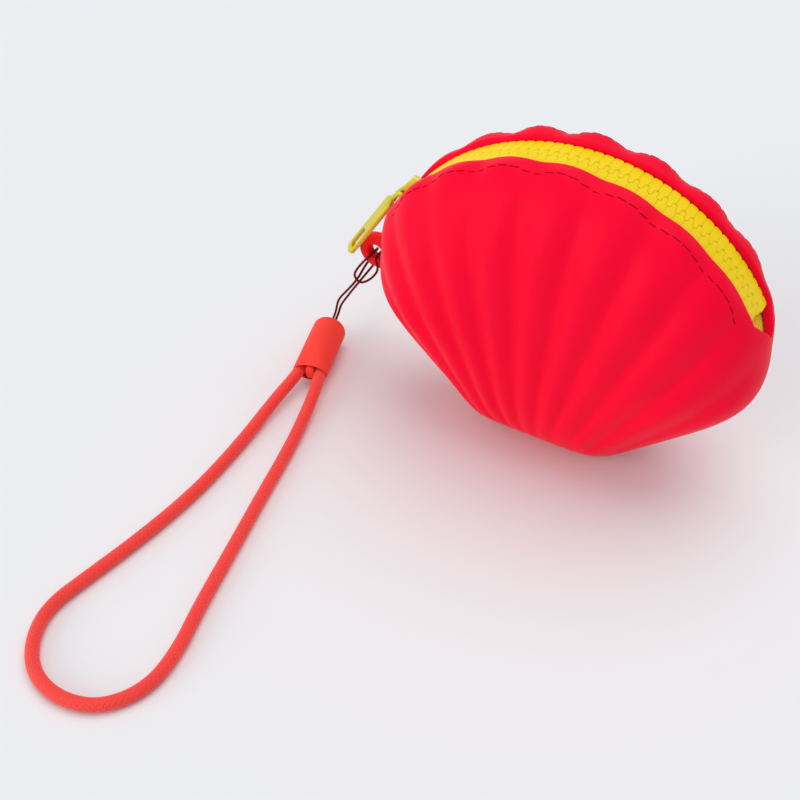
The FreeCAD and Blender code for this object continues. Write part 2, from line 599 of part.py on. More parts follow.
def add_pull():
    """The zip pull, made hanging from its cross bar at the origin, then set on the slider's bridge."""
    outer = f"0 - {PULL_HALF}"
    bar = add_cylinder("pull_cross_bar", "pivot_radius", f"2 * {PULL_HALF}", y=outer, turn=ALONG_Y)
    cheeks = []
    half = "pull_cheek_height / 2"
    for name, low in (("pull_front_cheek", outer), ("pull_rear_cheek", f"{PULL_HALF} - pull_cheek")):
        cheeks.append(add_box(f"{name}_arm", "pull_cheek_height", "pull_cheek", f"pull_neck + {half}",
                              f"0 - {half}", low, f"0 - pull_neck - {half}"))
        cheeks.append(add_cylinder(f"{name}_end", half, "pull_cheek", y=low, turn=ALONG_Y))
    thin = "pull_thickness / 2"
    wide = "pull_width / 2"
    flat = add_box("pull_flat", "pull_thickness", "pull_width", "pull_length - pull_neck - pull_width / 2",
                   f"0 - {thin}", f"0 - {wide}", "pull_width / 2 - pull_length")
    end = add_cylinder("pull_end", wide, "pull_thickness", x=f"0 - {thin}", z="pull_width / 2 - pull_length",
                       turn=ALONG_X)
    slot_low = "pull_slot_margin + pull_slot_width / 2 - pull_length"
    slot_high = f"{slot_low} + pull_slot_length - pull_slot_width"
    thick = "pull_thickness + 2 * overrun"
    back = f"0 - {thin} - overrun"
    slot = [add_box("pull_slot_middle", thick, "pull_slot_width", "pull_slot_length - pull_slot_width",
                    back, "0 - pull_slot_width / 2", slot_low)]
    for name, height in (("pull_slot_foot", slot_low), ("pull_slot_head", slot_high)):
        slot.append(add_cylinder(name, "pull_slot_width / 2", thick, x=back, z=height, turn=ALONG_X))
    blade = take("pull_blade", join("pull_strip", [flat, end]), join("pull_slot", slot))
    blade.Placement = FreeCAD.Placement(FreeCAD.Vector(), FreeCAD.Rotation(FreeCAD.Vector(0, 0, 1), 1))
    blade.setExpression("Placement.Base.x", bound("0 - pull_offset"))
    blade.setExpression("Placement.Rotation.Angle", bound("pull_roll_angle"))
    pull = join("pull_tab", [bar, *cheeks, blade])
    sine = "sin(slider_rest_angle * 1 deg)"
    cosine = "cos(slider_rest_angle * 1 deg)"
    pivot_x = f"{PIVOT_RADIUS} * {sine} - {PIVOT_BACK} * {cosine}"
    pivot_z = f"top_centre_height + {PIVOT_RADIUS} * {cosine} + {PIVOT_BACK} * {sine}"
    pull.Placement = FreeCAD.Placement(FreeCAD.Vector(), FreeCAD.Rotation(AXIS_Y, 1))
    pull.setExpression("Placement.Rotation.Angle", bound("pull_rest_angle"))
    pull.setExpression("Placement.Base.x", bound(pivot_x))
    pull.setExpression("Placement.Base.z", bound(pivot_z))
    return pull


def side_at(height):
    """Distance from the middle to the side of the purse in the parting plane, at a height."""
    upward = height - size("bulge_height")
    low = 0
    high = 2 * size("top_radius")
    for step in range(60):
        middle = (low + high) / 2
        reach = math.hypot(middle, upward)
        inside = reach < outline_reach(middle / reach, upward / reach)
        low = middle if inside else low
        high = high if inside else middle
    return low


def lug_hole_x():
    """Place of the lug's hole across, which the whole strap hangs from."""
    return -side_at(size("lug_height")) - size("lug_reach")


def add_lug():
    """The loop for the string, behind the parting plane, with a root that widens into the rear valve."""
    height = size("lug_height")
    radius = size("lug_radius")
    root = size("lug_root_half")
    along = FreeCAD.Vector(0, size("lug_thickness"), 0)
    centre = FreeCAD.Vector(lug_hole_x(), size("lug_setback"), height)
    inner = size("lug_reach") + size("half_depth") / 2
    corners = [centre + FreeCAD.Vector(0, 0, radius), centre + FreeCAD.Vector(inner, 0, root),
               centre + FreeCAD.Vector(inner, 0, -root), centre + FreeCAD.Vector(0, 0, -radius)]
    plate = Part.Face(Part.makePolygon(corners + corners[:1])).extrude(along)
    rounded = Part.makeCylinder(radius, along.Length, centre, AXIS_Y)
    hole = Part.makeCylinder(size("lug_hole_radius"), along.Length, centre, AXIS_Y)
    lug = plate.fuse(rounded).removeSplitter().cut(hole)
    return add_feature("strap_lug", lug.cut(valve_form(REAR, size("lug_root_depth"))))


# Strap

def route_path(points):
    """Straight runs joined by tangent arcs that take up most of the shorter run."""
    edges = []
    radii = []
    start = points[0]
    for before, point, after in zip(points, points[1:], points[2:]):
        back = before - point
        ahead = after - point
        tangent = ARC_SHARE * min(back.Length, ahead.Length)
        back.normalize()
        ahead.normalize()
        half_turn = (math.pi - back.getAngle(ahead)) / 2
        radius = tangent / math.tan(half_turn)
        radii.append(radius)
        inward = back + ahead
        inward.normalize()
        enter = point + back * tangent
        leave = point + ahead * tangent
        middle = point + inward * (radius / math.cos(half_turn) - radius)
        edges.append(Part.LineSegment(start, enter).toShape())
        edges.append(Part.Arc(enter, middle, leave).toShape())
        start = leave
    edges.append(Part.LineSegment(start, points[-1]).toShape())
    return Part.Wire(edges), radii


def add_cord(label, route, diameter):
    """A round cord along a route."""
    points = [FreeCAD.Vector(lug_hole_x() + x, y, z) for x, y, z in route]
    path, radii = route_path(points)
    section = Part.Wire(Part.makeCircle(diameter / 2, points[0], points[1] - points[0]))
    cord = path.makePipeShell([section], True, False)
    wanted = math.pi * diameter ** 2 / 4 * path.Length
    print(label, "length", round(path.Length, 1), "volume share", round(cord.Volume / wanted, 4))
    print(label, "arc radii", [round(radius, 1) for radius in radii])
    return add_feature(label, cord)


def set_in_sleeve(piece):
    """Place a piece that was made along Z, with the ferrule's mouth at the origin, where the ferrule lies."""
    lie = FreeCAD.Rotation(FreeCAD.Vector(1, 0, 0), -90)
    heading = FreeCAD.Rotation(FreeCAD.Vector(0, 0, 1), size("sleeve_heading_angle"))
    mouth = FreeCAD.Vector(lug_hole_x() - size("sleeve_mouth_offset"), 0, 0)
    piece.Placement = FreeCAD.Placement(mouth, heading.multiply(lie))
    for axis, alias in (("y", "sleeve_mouth_y"), ("z", "sleeve_axis_height")):
        piece.setExpression(f"Placement.Base.{axis}", bound(alias))


def add_sleeve():
    """The ferrule: a turned sleeve, closed at one end but for the string's hole."""
    sleeve = add_body("strap_ferrule")
    cap = "sleeve_length - sleeve_cap"
    outline = [("sleeve_mouth_radius", "0"), ("sleeve_radius", "sleeve_flare"),
               ("sleeve_radius", "sleeve_length"), ("sleeve_hole", "sleeve_length"),
               ("sleeve_hole", cap), ("sleeve_bore", cap),
               ("sleeve_bore", "sleeve_flare"), ("sleeve_mouth_radius - sleeve_wall", "0")]
    half = add_sketch(sleeve, "XZ_Plane", "sleeve_half", [outline])
    turned = add_turn(sleeve, half, "V_Axis", "360")
    doc.recompute()
    rim = value_of("sleeve_radius")
    end = value_of("sleeve_length")
    names = []
    for index, edge in enumerate(turned.Shape.Edges, start=1):
        box = edge.BoundBox
        if abs(box.ZMin - end) < 1e-6 and abs(box.ZMax - end) < 1e-6 and abs(box.XMax - rim) < 1e-6:
            names.append(f"Edge{index}")
    rounding = sleeve.newObject("PartDesign::Fillet", "sleeve_end")
    rounding.Base = (turned, names)
    rounding.setExpression("Radius", bound("sleeve_round"))
    set_in_sleeve(sleeve)
    return sleeve


def add_knot():
    """The string's knot, under the closed end of the ferrule."""
    inside = add_solid("Part::Sphere", "knot_ball", {
        "Radius": "knot_radius",
        "z": "sleeve_length - sleeve_cap - fit_gap - knot_radius",
    })
    knot = join("string_knot", [inside, add_cylinder("knot_turn", "knot_radius", "knot_radius",
                                                     z="sleeve_length - sleeve_cap - 2 * knot_radius")])
    set_in_sleeve(knot)
    return knot


def add_plug():
    """The plug in the ferrule's mouth, between the two ends of the cord."""
    half = "(sleeve_bore - fit_gap)"
    blade = add_box("plug_blade", "2 * plug_half_width", f"2 * {half}", "plug_depth + plug_proud",
                    "0 - plug_half_width", f"0 - {half}", "0 - plug_proud")
    round_off = add_cylinder("plug_round", half, "plug_depth + plug_proud", z="0 - plug_proud")
    plug = doc.addObject("Part::MultiCommon", "ferrule_plug")
    plug.Label = "ferrule_plug"
    plug.Shapes = [blade, round_off]
    set_in_sleeve(plug)
    return plug


pieces = [
    add_feature("front_shell", valve(FRONT)),
    add_feature("rear_shell", valve(REAR)),
    add_lug(),
    *add_zip_half("front", FRONT),
    *add_zip_half("rear", REAR),
    add_bottom_stop(),
    add_slider(),
    add_bridge(),
    add_pull(),
    add_stitching("front", FRONT),
    add_stitching("rear", REAR),
    add_cord("strap_string", STRING_ROUTE, size("string_diameter")),
    add_knot(),
    add_sleeve(),
    add_plug(),
    add_cord("wrist_cord", CORD_ROUTE, size("cord_diameter")),
]
doc.recompute()

for item in doc.Objects:
    if "Invalid" in item.State or "Error" in item.State:
        raise RuntimeError(f"{item.Name} failed: {item.State}")
for piece in pieces:
    if piece.Shape.isNull() or not piece.Shape.isValid() or not piece.Shape.Solids:
        raise RuntimeError(f"{piece.Label} has no valid solid")

os.makedirs("parts", exist_ok=True)
for piece in pieces:
    piece.Shape.exportStep(f"parts/{piece.Label}.step")
    box = piece.Shape.BoundBox
    print(piece.Label, len(piece.Shape.Solids), "solids", round(piece.Shape.Volume, 1), "mm3",
          [round(edge, 2) for edge in (box.XMin, box.YMin, box.ZMin, box.XMax, box.YMax, box.ZMax)])
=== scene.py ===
"""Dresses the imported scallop-shell coin purse: silicone body, zip, stitching and wrist strap."""
import logging
import math
from dataclasses import dataclass, field
from enum import Enum

import bmesh
import bpy
import numpy as np
from mathutils import Matrix, Vector


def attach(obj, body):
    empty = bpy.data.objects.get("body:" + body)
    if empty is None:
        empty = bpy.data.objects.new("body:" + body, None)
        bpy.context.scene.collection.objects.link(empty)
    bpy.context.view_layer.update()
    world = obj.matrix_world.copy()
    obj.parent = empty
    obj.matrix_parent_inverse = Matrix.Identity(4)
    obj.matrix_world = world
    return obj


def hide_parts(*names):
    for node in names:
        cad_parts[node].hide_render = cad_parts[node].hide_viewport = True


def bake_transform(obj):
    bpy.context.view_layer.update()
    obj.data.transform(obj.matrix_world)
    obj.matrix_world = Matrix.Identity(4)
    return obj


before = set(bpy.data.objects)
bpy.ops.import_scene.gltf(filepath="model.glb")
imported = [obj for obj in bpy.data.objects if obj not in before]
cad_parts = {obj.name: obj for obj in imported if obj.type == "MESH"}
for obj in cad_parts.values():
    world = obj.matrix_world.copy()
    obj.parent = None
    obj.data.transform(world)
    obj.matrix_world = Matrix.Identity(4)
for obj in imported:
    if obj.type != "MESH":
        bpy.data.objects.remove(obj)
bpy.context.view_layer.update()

MM = 0.001
MICRON = 1e-6
SEAM = 2e-7
TINY = 1e-9
LOG = logging.getLogger("shell_purse")
Colour = tuple[float, float, float, float]
Point = tuple[float, float, float]
Outline = tuple[tuple[float, float], ...]
Piece = bpy.types.Object
Mesh = bpy.types.Mesh
Socket = bpy.types.NodeSocket


class Body(Enum):
    """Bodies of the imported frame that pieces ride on."""

    PURSE = "purse"
    FRONT_HALF = "front_half"
    SLIDER = "slider"
    PULL = "pull"


class Side(Enum):
    """The two halves of the purse and of its zip, by the sign of their depth."""

    FRONT = -1
    REAR = 1

    @property
    def word(self) -> str:
        """The side's word in the names of pieces and nodes."""
        return self.name.lower()

    @property
    def body(self) -> Body:
        """The body that the side's pieces ride on."""
        return Body.PURSE if self is Side.REAR else Body.FRONT_HALF


class Coordinates(Enum):
    """Where a finish takes its pattern's place from."""

    OBJECT = "Object"
    UV = "UV"


class FarEnd(Enum):
    """What a cord ends in."""

    KNOT = "knot"
    OBJECT = "object"


class Stiffness(Enum):
    """How easily a cord bends."""

    LIMP = "limp"
    MEDIUM = "medium"


class Lay(Enum):
    """How a cord lies."""

    HANGING = "hanging"
    LOOSE = "loose"


def srgb(red: int, green: int, blue: int) -> Colour:
    """Turn a screen colour into a linear one.

    Args:
        red: Red from 0 to 255.
        green: Green from 0 to 255.
        blue: Blue from 0 to 255.

    Returns:
        The linear colour with full alpha.
    """
    shares = [value / 255 for value in (red, green, blue)]
    linear = [share / 12.92 if share <= 0.04045 else ((share + 0.055) / 1.055) ** 2.4 for share in shares]
    return (*linear, 1.0)


def ease(values: np.ndarray | float, low: float, high: float) -> np.ndarray:
    """Rise smoothly from 0 at one value to 1 at another.

    Args:
        values: The values to map.
        low: Value that gives 0.
        high: Value that gives 1.

    Returns:
        The eased shares.
    """
    share = np.clip((np.asarray(values, float) - low) / (high - low), 0, 1)
    return share * share * (3 - 2 * share)


def soft_lower(first: np.ndarray, second: np.ndarray, width: float) -> np.ndarray:
    """Take the lower of two values, rounded where they cross.

    Args:
        first: One set of values.
        second: The other set.
        width: How wide the rounding is.

    Returns:
        The rounded minimum.
    """
    share = np.clip(0.5 + 0.5 * (second - first) / width, 0, 1)
    return second * (1 - share) + first * share - width * share * (1 - share)


def run(points: np.ndarray) -> np.ndarray:
    """Give the distance along a line to each of its points."""
    return np.concatenate([[0], np.cumsum(np.linalg.norm(np.diff(points, axis=0), axis=1))])


def resample(points: np.ndarray, count: int) -> np.ndarray:
    """Spread points along a line, closer together towards both of its ends.

    Args:
        points: The line's points in order.
        count: Number of steps.

    Returns:
        count + 1 points.
    """
    along = run(points)
    wanted = along[-1] * (1 - np.cos(np.linspace(0, math.pi, count + 1))) / 2
    return np.column_stack([np.interp(wanted, along, points[:, axis]) for axis in range(3)])


# Nodes


class NodeTree:
    """A tree of nodes, with short ways to add and join them."""

    def __init__(self, tree: bpy.types.NodeTree) -> None:
        """Take over a tree and empty it.

        Args:
            tree: The tree.
        """
        self.tree = tree
        self.nodes = tree.nodes
        self.nodes.clear()

    def join(self, source: object, target: Socket) -> None:
        """Link a socket to another, or set a plain value on it.

        Args:
            source: A socket or a value.
            target: The socket that takes it.
        """
        if isinstance(source, Socket):
            self.tree.links.new(source, target)
        else:
            target.default_value = source

    def node(self, kind: str, **inputs: object) -> bpy.types.Node:
        """Add a node.

        Args:
            kind: The node's type.
            inputs: A socket or value for each input, named with underscores for spaces.

        Returns:
            The node.
        """
        node = self.nodes.new(kind)
        for label, source in inputs.items():
            self.join(source, node.inputs[label.replace("_", " ")])
        return node

    def sum(self, operation: str, *values: object) -> Socket:
        """Add a math node.

        Args:
            operation: Name of the operation.
            values: Its sockets or numbers in order.

        Returns:
            The result.
        """
        node = self.nodes.new("ShaderNodeMath")
        node.operation = operation
        for value, target in zip(values, node.inputs):
            self.join(value, target)
        return node.outputs["Value"]

    def range(self, value: Socket, low: float, high: float) -> Socket:
        """Map a value from 0..1 to another range."""
        return self.node("ShaderNodeMapRange", Value=value, To_Min=low, To_Max=high).outputs["Result"]

    def axes(self, where: Socket) -> list[Socket]:
        """Split coordinates into their three parts."""
        return list(self.node("ShaderNodeSeparateXYZ", Vector=where).outputs)


class ShaderTree(NodeTree):
    """The nodes of one material, around one Principled shader."""

    tone_stops = (0.3, 0.7)

    def __init__(self, name: str) -> None:
        """Start a material.

        Args:
            name: The material's name.
        """
        self.material = bpy.data.materials.new(name)
        self.material.use_nodes = True
        super().__init__(self.material.node_tree)
        self.surface = self.node("ShaderNodeBsdfPrincipled")
        self.node("ShaderNodeOutputMaterial", Surface=self.surface.outputs["BSDF"])

    def shade(self, **values: object) -> None:
        """Set or link the shader's own sockets.

        Args:
            values: A number or socket for each, named with underscores for spaces.
        """
        for label, value in values.items():
            self.join(value, self.surface.inputs[label.replace("_", " ").title().replace("Ior", "IOR")])

    def place(self, kind: Coordinates) -> Socket:
        """Give the coordinates that a pattern reads."""
        return self.node("ShaderNodeTexCoord").outputs[kind.value]

    def noise(self, where: Socket, scale: float, detail: float = 2.0) -> Socket:
        """Add a noise pattern.

        Args:
            where: Coordinates to read.
            scale: Size of the pattern, larger for finer.
            detail: Number of finer layers.

        Returns:
            The pattern's value.
        """
        return self.node("ShaderNodeTexNoise", Vector=where, Scale=scale, Detail=detail).outputs["Fac"]

    def tone(self, where: Socket, colour: Colour, share: float, scale: float) -> None:
        """Give the shader a slightly uneven colour.

        Args:
            where: Coordinates to read.
            colour: The colour.
            share: Share of it that is left where it is darkest.
            scale: Size of the spots, larger for finer.
        """
        ramp = self.node("ShaderNodeValToRGB", Fac=self.noise(where, scale))
        darker = (*(value * share for value in colour[:3]), 1.0)
        for stop, place, tint in zip(ramp.color_ramp.elements, self.tone_stops, (darker, colour)):
            stop.position = place
            stop.color = tint
        self.shade(base_color=ramp.outputs["Color"])

    def bump(self, height: Socket, depth: float, strength: float) -> None:
        """Raise the surface by a pattern.

        Args:
            height: The pattern.
            depth: Height of the pattern in metres.
            strength: How strongly it shows.
        """
        node = self.node("ShaderNodeBump", Height=height, Distance=depth, Strength=strength)
        self.shade(normal=node.outputs["Normal"])


class GeometryTree(NodeTree):
    """A Geometry Nodes tree with named inputs, run once on a piece and turned into plain mesh."""

    def __init__(self, name: str) -> None:
        """Start a tree with a geometry going in and out.

        Args:
            name: The tree's name.
        """
        super().__init__(bpy.data.node_groups.new(name, "GeometryNodeTree"))
        for way in ("INPUT", "OUTPUT"):
            self.tree.interface.new_socket("Geometry", in_out=way, socket_type="NodeSocketGeometry")
        self.entry = self.node("NodeGroupInput")
        self.keys: dict[str, str] = {}

    def input(self, label: str, kind: str = "NodeSocketFloat") -> Socket:
        """Add a named input.

        Args:
            label: Its name.
            kind: Its socket's type.

        Returns:
            The socket that gives its value.
        """
        item = self.tree.interface.new_socket(label, in_out="INPUT", socket_type=kind)
        self.keys[label] = item.identifier
        return next(socket for socket in self.entry.outputs if socket.identifier == item.identifier)

    def vector(self, **parts: Socket) -> Socket:
        """Join X, Y and Z into a vector, with 0 for a part that isn't given."""
        return self.node("ShaderNodeCombineXYZ", **parts).outputs["Vector"]

    def scaled(self, vector: Socket, scale: object) -> Socket:
        """Scale a vector.

        Args:
            vector: The vector.
            scale: A socket or a number.

        Returns:
            The scaled vector.
        """
        node = self.nodes.new("ShaderNodeVectorMath")
        node.operation = "SCALE"
        self.join(vector, node.inputs["Vector"])
        self.join(scale, node.inputs["Scale"])
        return node.outputs["Vector"]

    def added(self, first: Socket, second: Socket) -> Socket:
        """Add two vectors.

        Args:
            first: One vector.
            second: The other.

        Returns:
            Their sum.
        """
        node = self.nodes.new("ShaderNodeVectorMath")
        node.operation = "ADD"
        self.join(first, node.inputs[0])
        self.join(second, node.inputs[1])
        return node.outputs["Vector"]

    def fan_wave(self, position: Socket) -> Socket:
        """Add the wave of the ribs, which fan out from a point below the base.

        Args:
            position: Place in the purse's frame.

        Returns:
            1 on the crest of a rib and -1 in a valley.
        """
        count, flank, depth, valley = (
            self.input(label) for label in ("Rib Count", "Flank Angle", "Apex Depth", "Valley Width"))
        x, _, z = self.axes(position)
        fan = self.sum("ARCTAN2", x, self.sum("ADD", z, depth))
        turns = self.sum("DIVIDE", self.sum("MULTIPLY", fan, count), flank)
        even = self.sum("COSINE", self.sum("MULTIPLY", turns, math.pi))
        high = self.sum("SQRT", self.sum("ADD", self.sum("DIVIDE", self.sum("ADD", even, 1.0), 2.0), valley))
        low = self.sum("SQRT", valley)
        top = self.sum("SUBTRACT", self.sum("SQRT", self.sum("ADD", valley, 1.0)), low)
        share = self.sum("DIVIDE", self.sum("SUBTRACT", high, low), top)
        return self.sum("SUBTRACT", self.sum("MULTIPLY", share, 2.0), 1.0)

    def finish(self, geometry: Socket) -> None:
        """End the tree in real geometry with its material.

        Args:
            geometry: What the tree has made.
        """
        solid = self.node("GeometryNodeRealizeInstances", Geometry=geometry).outputs["Geometry"]
        material = self.input("Material", "NodeSocketMaterial")
        dressed = self.node("GeometryNodeSetMaterial", Geometry=solid, Material=material)
        self.node("NodeGroupOutput", Geometry=dressed.outputs["Geometry"])

    def run(self, piece: Piece, values: dict[str, object]) -> Piece:
        """Run the tree on a piece.

        Args:
            piece: The piece.
            values: A value for each named input.

        Returns:
            The piece as plain mesh.
        """
        modifier = piece.modifiers.new(self.tree.name, "NODES")
        modifier.node_group = self.tree
        for label, value in values.items():
            modifier[self.keys[label]] = value
        mesh = plain_mesh(piece)
        piece.modifiers.clear()
        piece.data = mesh
        return piece


# Finishes


@dataclass(frozen=True)
class Finish:
    """One finish: its record slot, colour and roughness, with a slightly uneven tone."""

    slot: str
    colour: Colour
    roughness: float
    tone_share: float = 0.94
    tone_scale: float = 30.0

    def build(self) -> bpy.types.Material:
        """Make the material.

        Returns:
            The material, named after its slot.
        """
        tree = ShaderTree(self.slot)
        where = tree.place(Coordinates.OBJECT)
        tree.tone(where, self.colour, self.tone_share, self.tone_scale)
        self.dress(tree, where)
        return tree.material

    def dress(self, tree: ShaderTree, where: Socket) -> None:
        """Add the finish's own roughness and relief.

        Args:
            tree: Nodes to add to.
            where: Object coordinates.
        """
        tree.shade(roughness=self.roughness)


@dataclass(frozen=True)
class Moulded(Finish):
    """Moulded plastic: handling marks in its roughness, and a faint satin grain."""

    marks_scale: float = 400.0
    marks_detail: float = 2.0
    smoother: float = 0.07
    rougher: float = 0.07
    grain_scale: float = 1800.0
    grain_detail: float = 3.0
    grain_depth: float = 0.00003
    grain_strength: float = 0.4
    shine: float = 0.2
    sheen: float = 0.0
    sheen_roughness: float = 0.5
    metal: float = 0.0
    coat: float = 0.0
    coat_roughness: float = 0.03

    def dress(self, tree: ShaderTree, where: Socket) -> None:
        """Add uneven roughness, fine grain and the surface's own shine.

        Args:
            tree: Nodes to add to.
            where: Object coordinates.
        """
        marks = tree.noise(where, self.marks_scale, self.marks_detail)
        tree.shade(
            roughness=tree.range(marks, self.roughness - self.smoother, self.roughness + self.rougher),
            specular_ior_level=self.shine, metallic=self.metal, sheen_weight=self.sheen,
            sheen_roughness=self.sheen_roughness, coat_weight=self.coat, coat_roughness=self.coat_roughness)
        grain = tree.noise(where, self.grain_scale, self.grain_detail)
        tree.bump(grain, self.grain_depth, self.grain_strength)


@dataclass(frozen=True)
class Silicone(Moulded):
    """Soft moulded silicone: dull and finely grained, with a soft sheen."""

    marks_scale: float = 55.0
    marks_detail: float = 4.0
    smoother: float = 0.05
    grain_scale: float = 2600.0
    grain_strength: float = 0.5
    shine: float = 0.06
    sheen: float = 0.06
    sheen_roughness: float = 0.35


@dataclass(frozen=True)
class Paint(Moulded):
    """Glossy paint on die-cast metal, faintly wavy, under a clear coat."""

    marks_scale: float = 300.0
    marks_detail: float = 3.0
    smoother: float = 0.06
    rougher: float = 0.1
    grain_scale: float = 700.0
    grain_detail: float = 2.0
    grain_depth: float = 0.00004
    grain_strength: float = 0.35
    shine: float = 0.5
    metal: float = 0.3
    coat: float = 0.3
    coat_roughness: float = 0.1


@dataclass(frozen=True)
class Woven(Finish):
    """Herringbone tape, laid out on the piece's own UV map in metres."""

    thread: float = 0.00055
    bands: float = 450.0
    slant: float = 9.0
    rib_share: float = 0.4
    depth: float = 0.00006
    strength: float = 0.7
    sheen: float = 0.25

    def dress(self, tree: ShaderTree, where: Socket) -> None:
        """Add the weave's relief and a cloth sheen.

        Args:
            tree: Nodes to add to.
            where: Object coordinates.
        """
        super().dress(tree, where)
        along, across, _ = tree.axes(tree.place(Coordinates.UV))
        turns = 2 * math.pi / self.thread
        rib = tree.sum("SINE", tree.sum("MULTIPLY", across, turns))
        band = tree.sum("FRACT", tree.sum("MULTIPLY", across, self.bands))
        folded = tree.sum("ABSOLUTE", tree.sum("SUBTRACT", band, 0.5))
        slant = tree.sum("MULTIPLY", folded, self.slant)
        twill = tree.sum("SINE", tree.sum("ADD", tree.sum("MULTIPLY", along, turns), slant))
        weave = tree.sum("ADD", tree.sum("MULTIPLY", rib, self.rib_share), twill)
        tree.bump(weave, self.depth, self.strength)
        tree.shade(sheen_weight=self.sheen)


@dataclass(frozen=True)
class Braid(Finish):
    """Round braided or twisted cord, laid out on its UV map: turns round, then metres along."""

    strands: int = 8
    lay: float = 0.0052
    depth: float = 0.00014
    strength: float = 0.6
    both_ways: bool = True
    fuzz_scale: float = 5200.0
    fuzz_detail: float = 3.0
    fuzz_share: float = 0.5
    sheen: float = 0.2
    shine: float = 0.5

    def dress(self, tree: ShaderTree, where: Socket) -> None:
        """Add the strands and their fuzz as relief.

        Args:
            tree: Nodes to add to.
            where: Object coordinates.
        """
        super().dress(tree, where)
        around, along, _ = tree.axes(tree.place(Coordinates.UV))
        turn = tree.sum("MULTIPLY", around, 2 * math.pi * self.strands)
        rise = tree.sum("MULTIPLY", along, 2 * math.pi * self.strands / self.lay / 2)
        height = tree.sum("SINE", tree.sum("ADD", turn, rise))
        if self.both_ways:
            height = tree.sum("MAXIMUM", height, tree.sum("SINE", tree.sum("SUBTRACT", turn, rise)))
        fuzz = tree.sum("MULTIPLY", tree.noise(where, self.fuzz_scale, self.fuzz_detail), self.fuzz_share)
        tree.bump(tree.sum("ADD", height, fuzz), self.depth, self.strength)
        tree.shade(sheen_weight=self.sheen, specular_ior_level=self.shine)


FINISHES = {finish.slot: finish for finish in (
    Silicone("silicone", srgb(254, 2, 50), 0.5),
    Silicone("lug_silicone", srgb(240, 4, 10), 0.42, shine=0.16),
    Woven("zip_tape", srgb(250, 214, 3), 0.75),
    Moulded("zip_teeth", srgb(252, 220, 3), 0.46),
    Paint("slider_paint", srgb(218, 202, 14), 0.34),
    Braid("thread", srgb(166, 0, 30), 0.75, strands=2, lay=0.0012, depth=0.00008, both_ways=False,
          sheen=0.0, shine=0.06),
    Braid("string", srgb(112, 5, 13), 0.6, strands=3, lay=0.0021, depth=0.00012, both_ways=False,
          sheen=0.0, shine=0.12),
    Silicone("ferrule_rubber", srgb(254, 74, 62), 0.52, grain_scale=1900.0),
    Braid("cord_braid", srgb(253, 54, 44), 0.62, tone_scale=60.0),
)}


@dataclass
class Wardrobe:
    """Makes each finish once, puts it on pieces and ties them to the frame."""

    made: dict[str, bpy.types.Material] = field(default_factory=dict)

    def material(self, slot: str) -> bpy.types.Material:
        """Give the material of a slot.

        Args:
            slot: The record's slot.

        Returns:
            The material, made on its first use.
        """
        if slot not in self.made:
            self.made[slot] = FINISHES[slot].build()
        return self.made[slot]

    def dress(self, piece: Piece, slot: str) -> Piece:
        """Put one finish on a whole piece.

        Args:
            piece: A mesh piece or a node of the frame.
            slot: The record's slot.

        Returns:
            The piece.
        """
        piece.data.materials.clear()
        piece.data.materials.append(self.material(slot))
        return piece

    def fit(self, piece: Piece, slot: str, body: Body, node: str) -> Piece:
        """Dress a piece that stands for one node, and let it ride on a body.

        Args:
            piece: The piece.
            slot: The record's slot.
            body: Body of the frame.
            node: Node of the frame that the piece replaces.

        Returns:
            The piece.
        """
        self.dress(piece, slot)
        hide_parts(node)
        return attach(piece, body.value)


# Meshes


def put(name: str, data: bpy.types.ID) -> Piece:
    """Put an object in the scene.

    Args:
        name: Its name.
        data: Its mesh, curve, light or camera.

    Returns:
        The object.
    """
    piece = bpy.data.objects.new(name, data)
    bpy.context.scene.collection.objects.link(piece)
    return piece


def smooth(mesh: Mesh, sharp: float) -> Mesh:
    """Shade a mesh smooth.

    Args:
        mesh: The mesh.
        sharp: Angle in degrees past which an edge stays sharp.

    Returns:
        The mesh.
    """
    mesh.polygons.foreach_set("use_smooth", [True] * len(mesh.polygons))
    mesh.set_sharp_from_angle(angle=math.radians(sharp))
    return mesh


def weld(mesh: Mesh, *others: Mesh) -> None:
    """Merge a mesh's seams and turn its faces outwards.

    Args:
        mesh: The mesh.
        others: Meshes that join it.
    """
    shape = bmesh.new()
    for part in (mesh, *others):
        shape.from_mesh(part)
    bmesh.ops.remove_doubles(shape, verts=shape.verts, dist=SEAM)
    bmesh.ops.recalc_face_normals(shape, faces=shape.faces)
    shape.to_mesh(mesh)
    shape.free()


def plain_mesh(piece: Piece) -> Mesh:
    """Give the mesh that an object's modifiers or its curve make.

    Args:
        piece: The object.

    Returns:
        A new mesh.
    """
    bpy.context.view_layer.update()
    return bpy.data.meshes.new_from_object(piece.evaluated_get(bpy.context.evaluated_depsgraph_get()))


def curve_mesh(curve: bpy.types.Curve) -> Mesh:
    """Turn a curve into plain mesh.

    Args:
        curve: The curve.

    Returns:
        Its mesh, a line of points where the curve has no thickness.
    """
    helper = put(curve.name, curve)
    mesh = plain_mesh(helper)
    bpy.data.objects.remove(helper)
    return mesh


def add_spline(curve: bpy.types.Curve, kind: str, points: tuple[Point, ...]) -> bpy.types.Spline:
    """Add a spline to a curve.

    Args:
        curve: The curve.
        kind: The spline's type.
        points: Its points in millimetres.

    Returns:
        The spline.
    """
    spline = curve.splines.new(kind)
    spline.points.add(len(points) - 1)
    spline.points.foreach_set("co", [value for x, y, z in points for value in (x * MM, y * MM, z * MM, 1.0)])
    return spline


def disc(radius: float, sides: int) -> np.ndarray:
    """Give a round section.

    Args:
        radius: Its radius.
        sides: Number of its sides.

    Returns:
        The section's points in order.
    """
    turns = np.linspace(0, 2 * math.pi, sides, endpoint=False)
    return np.column_stack([np.cos(turns), np.sin(turns)]) * radius


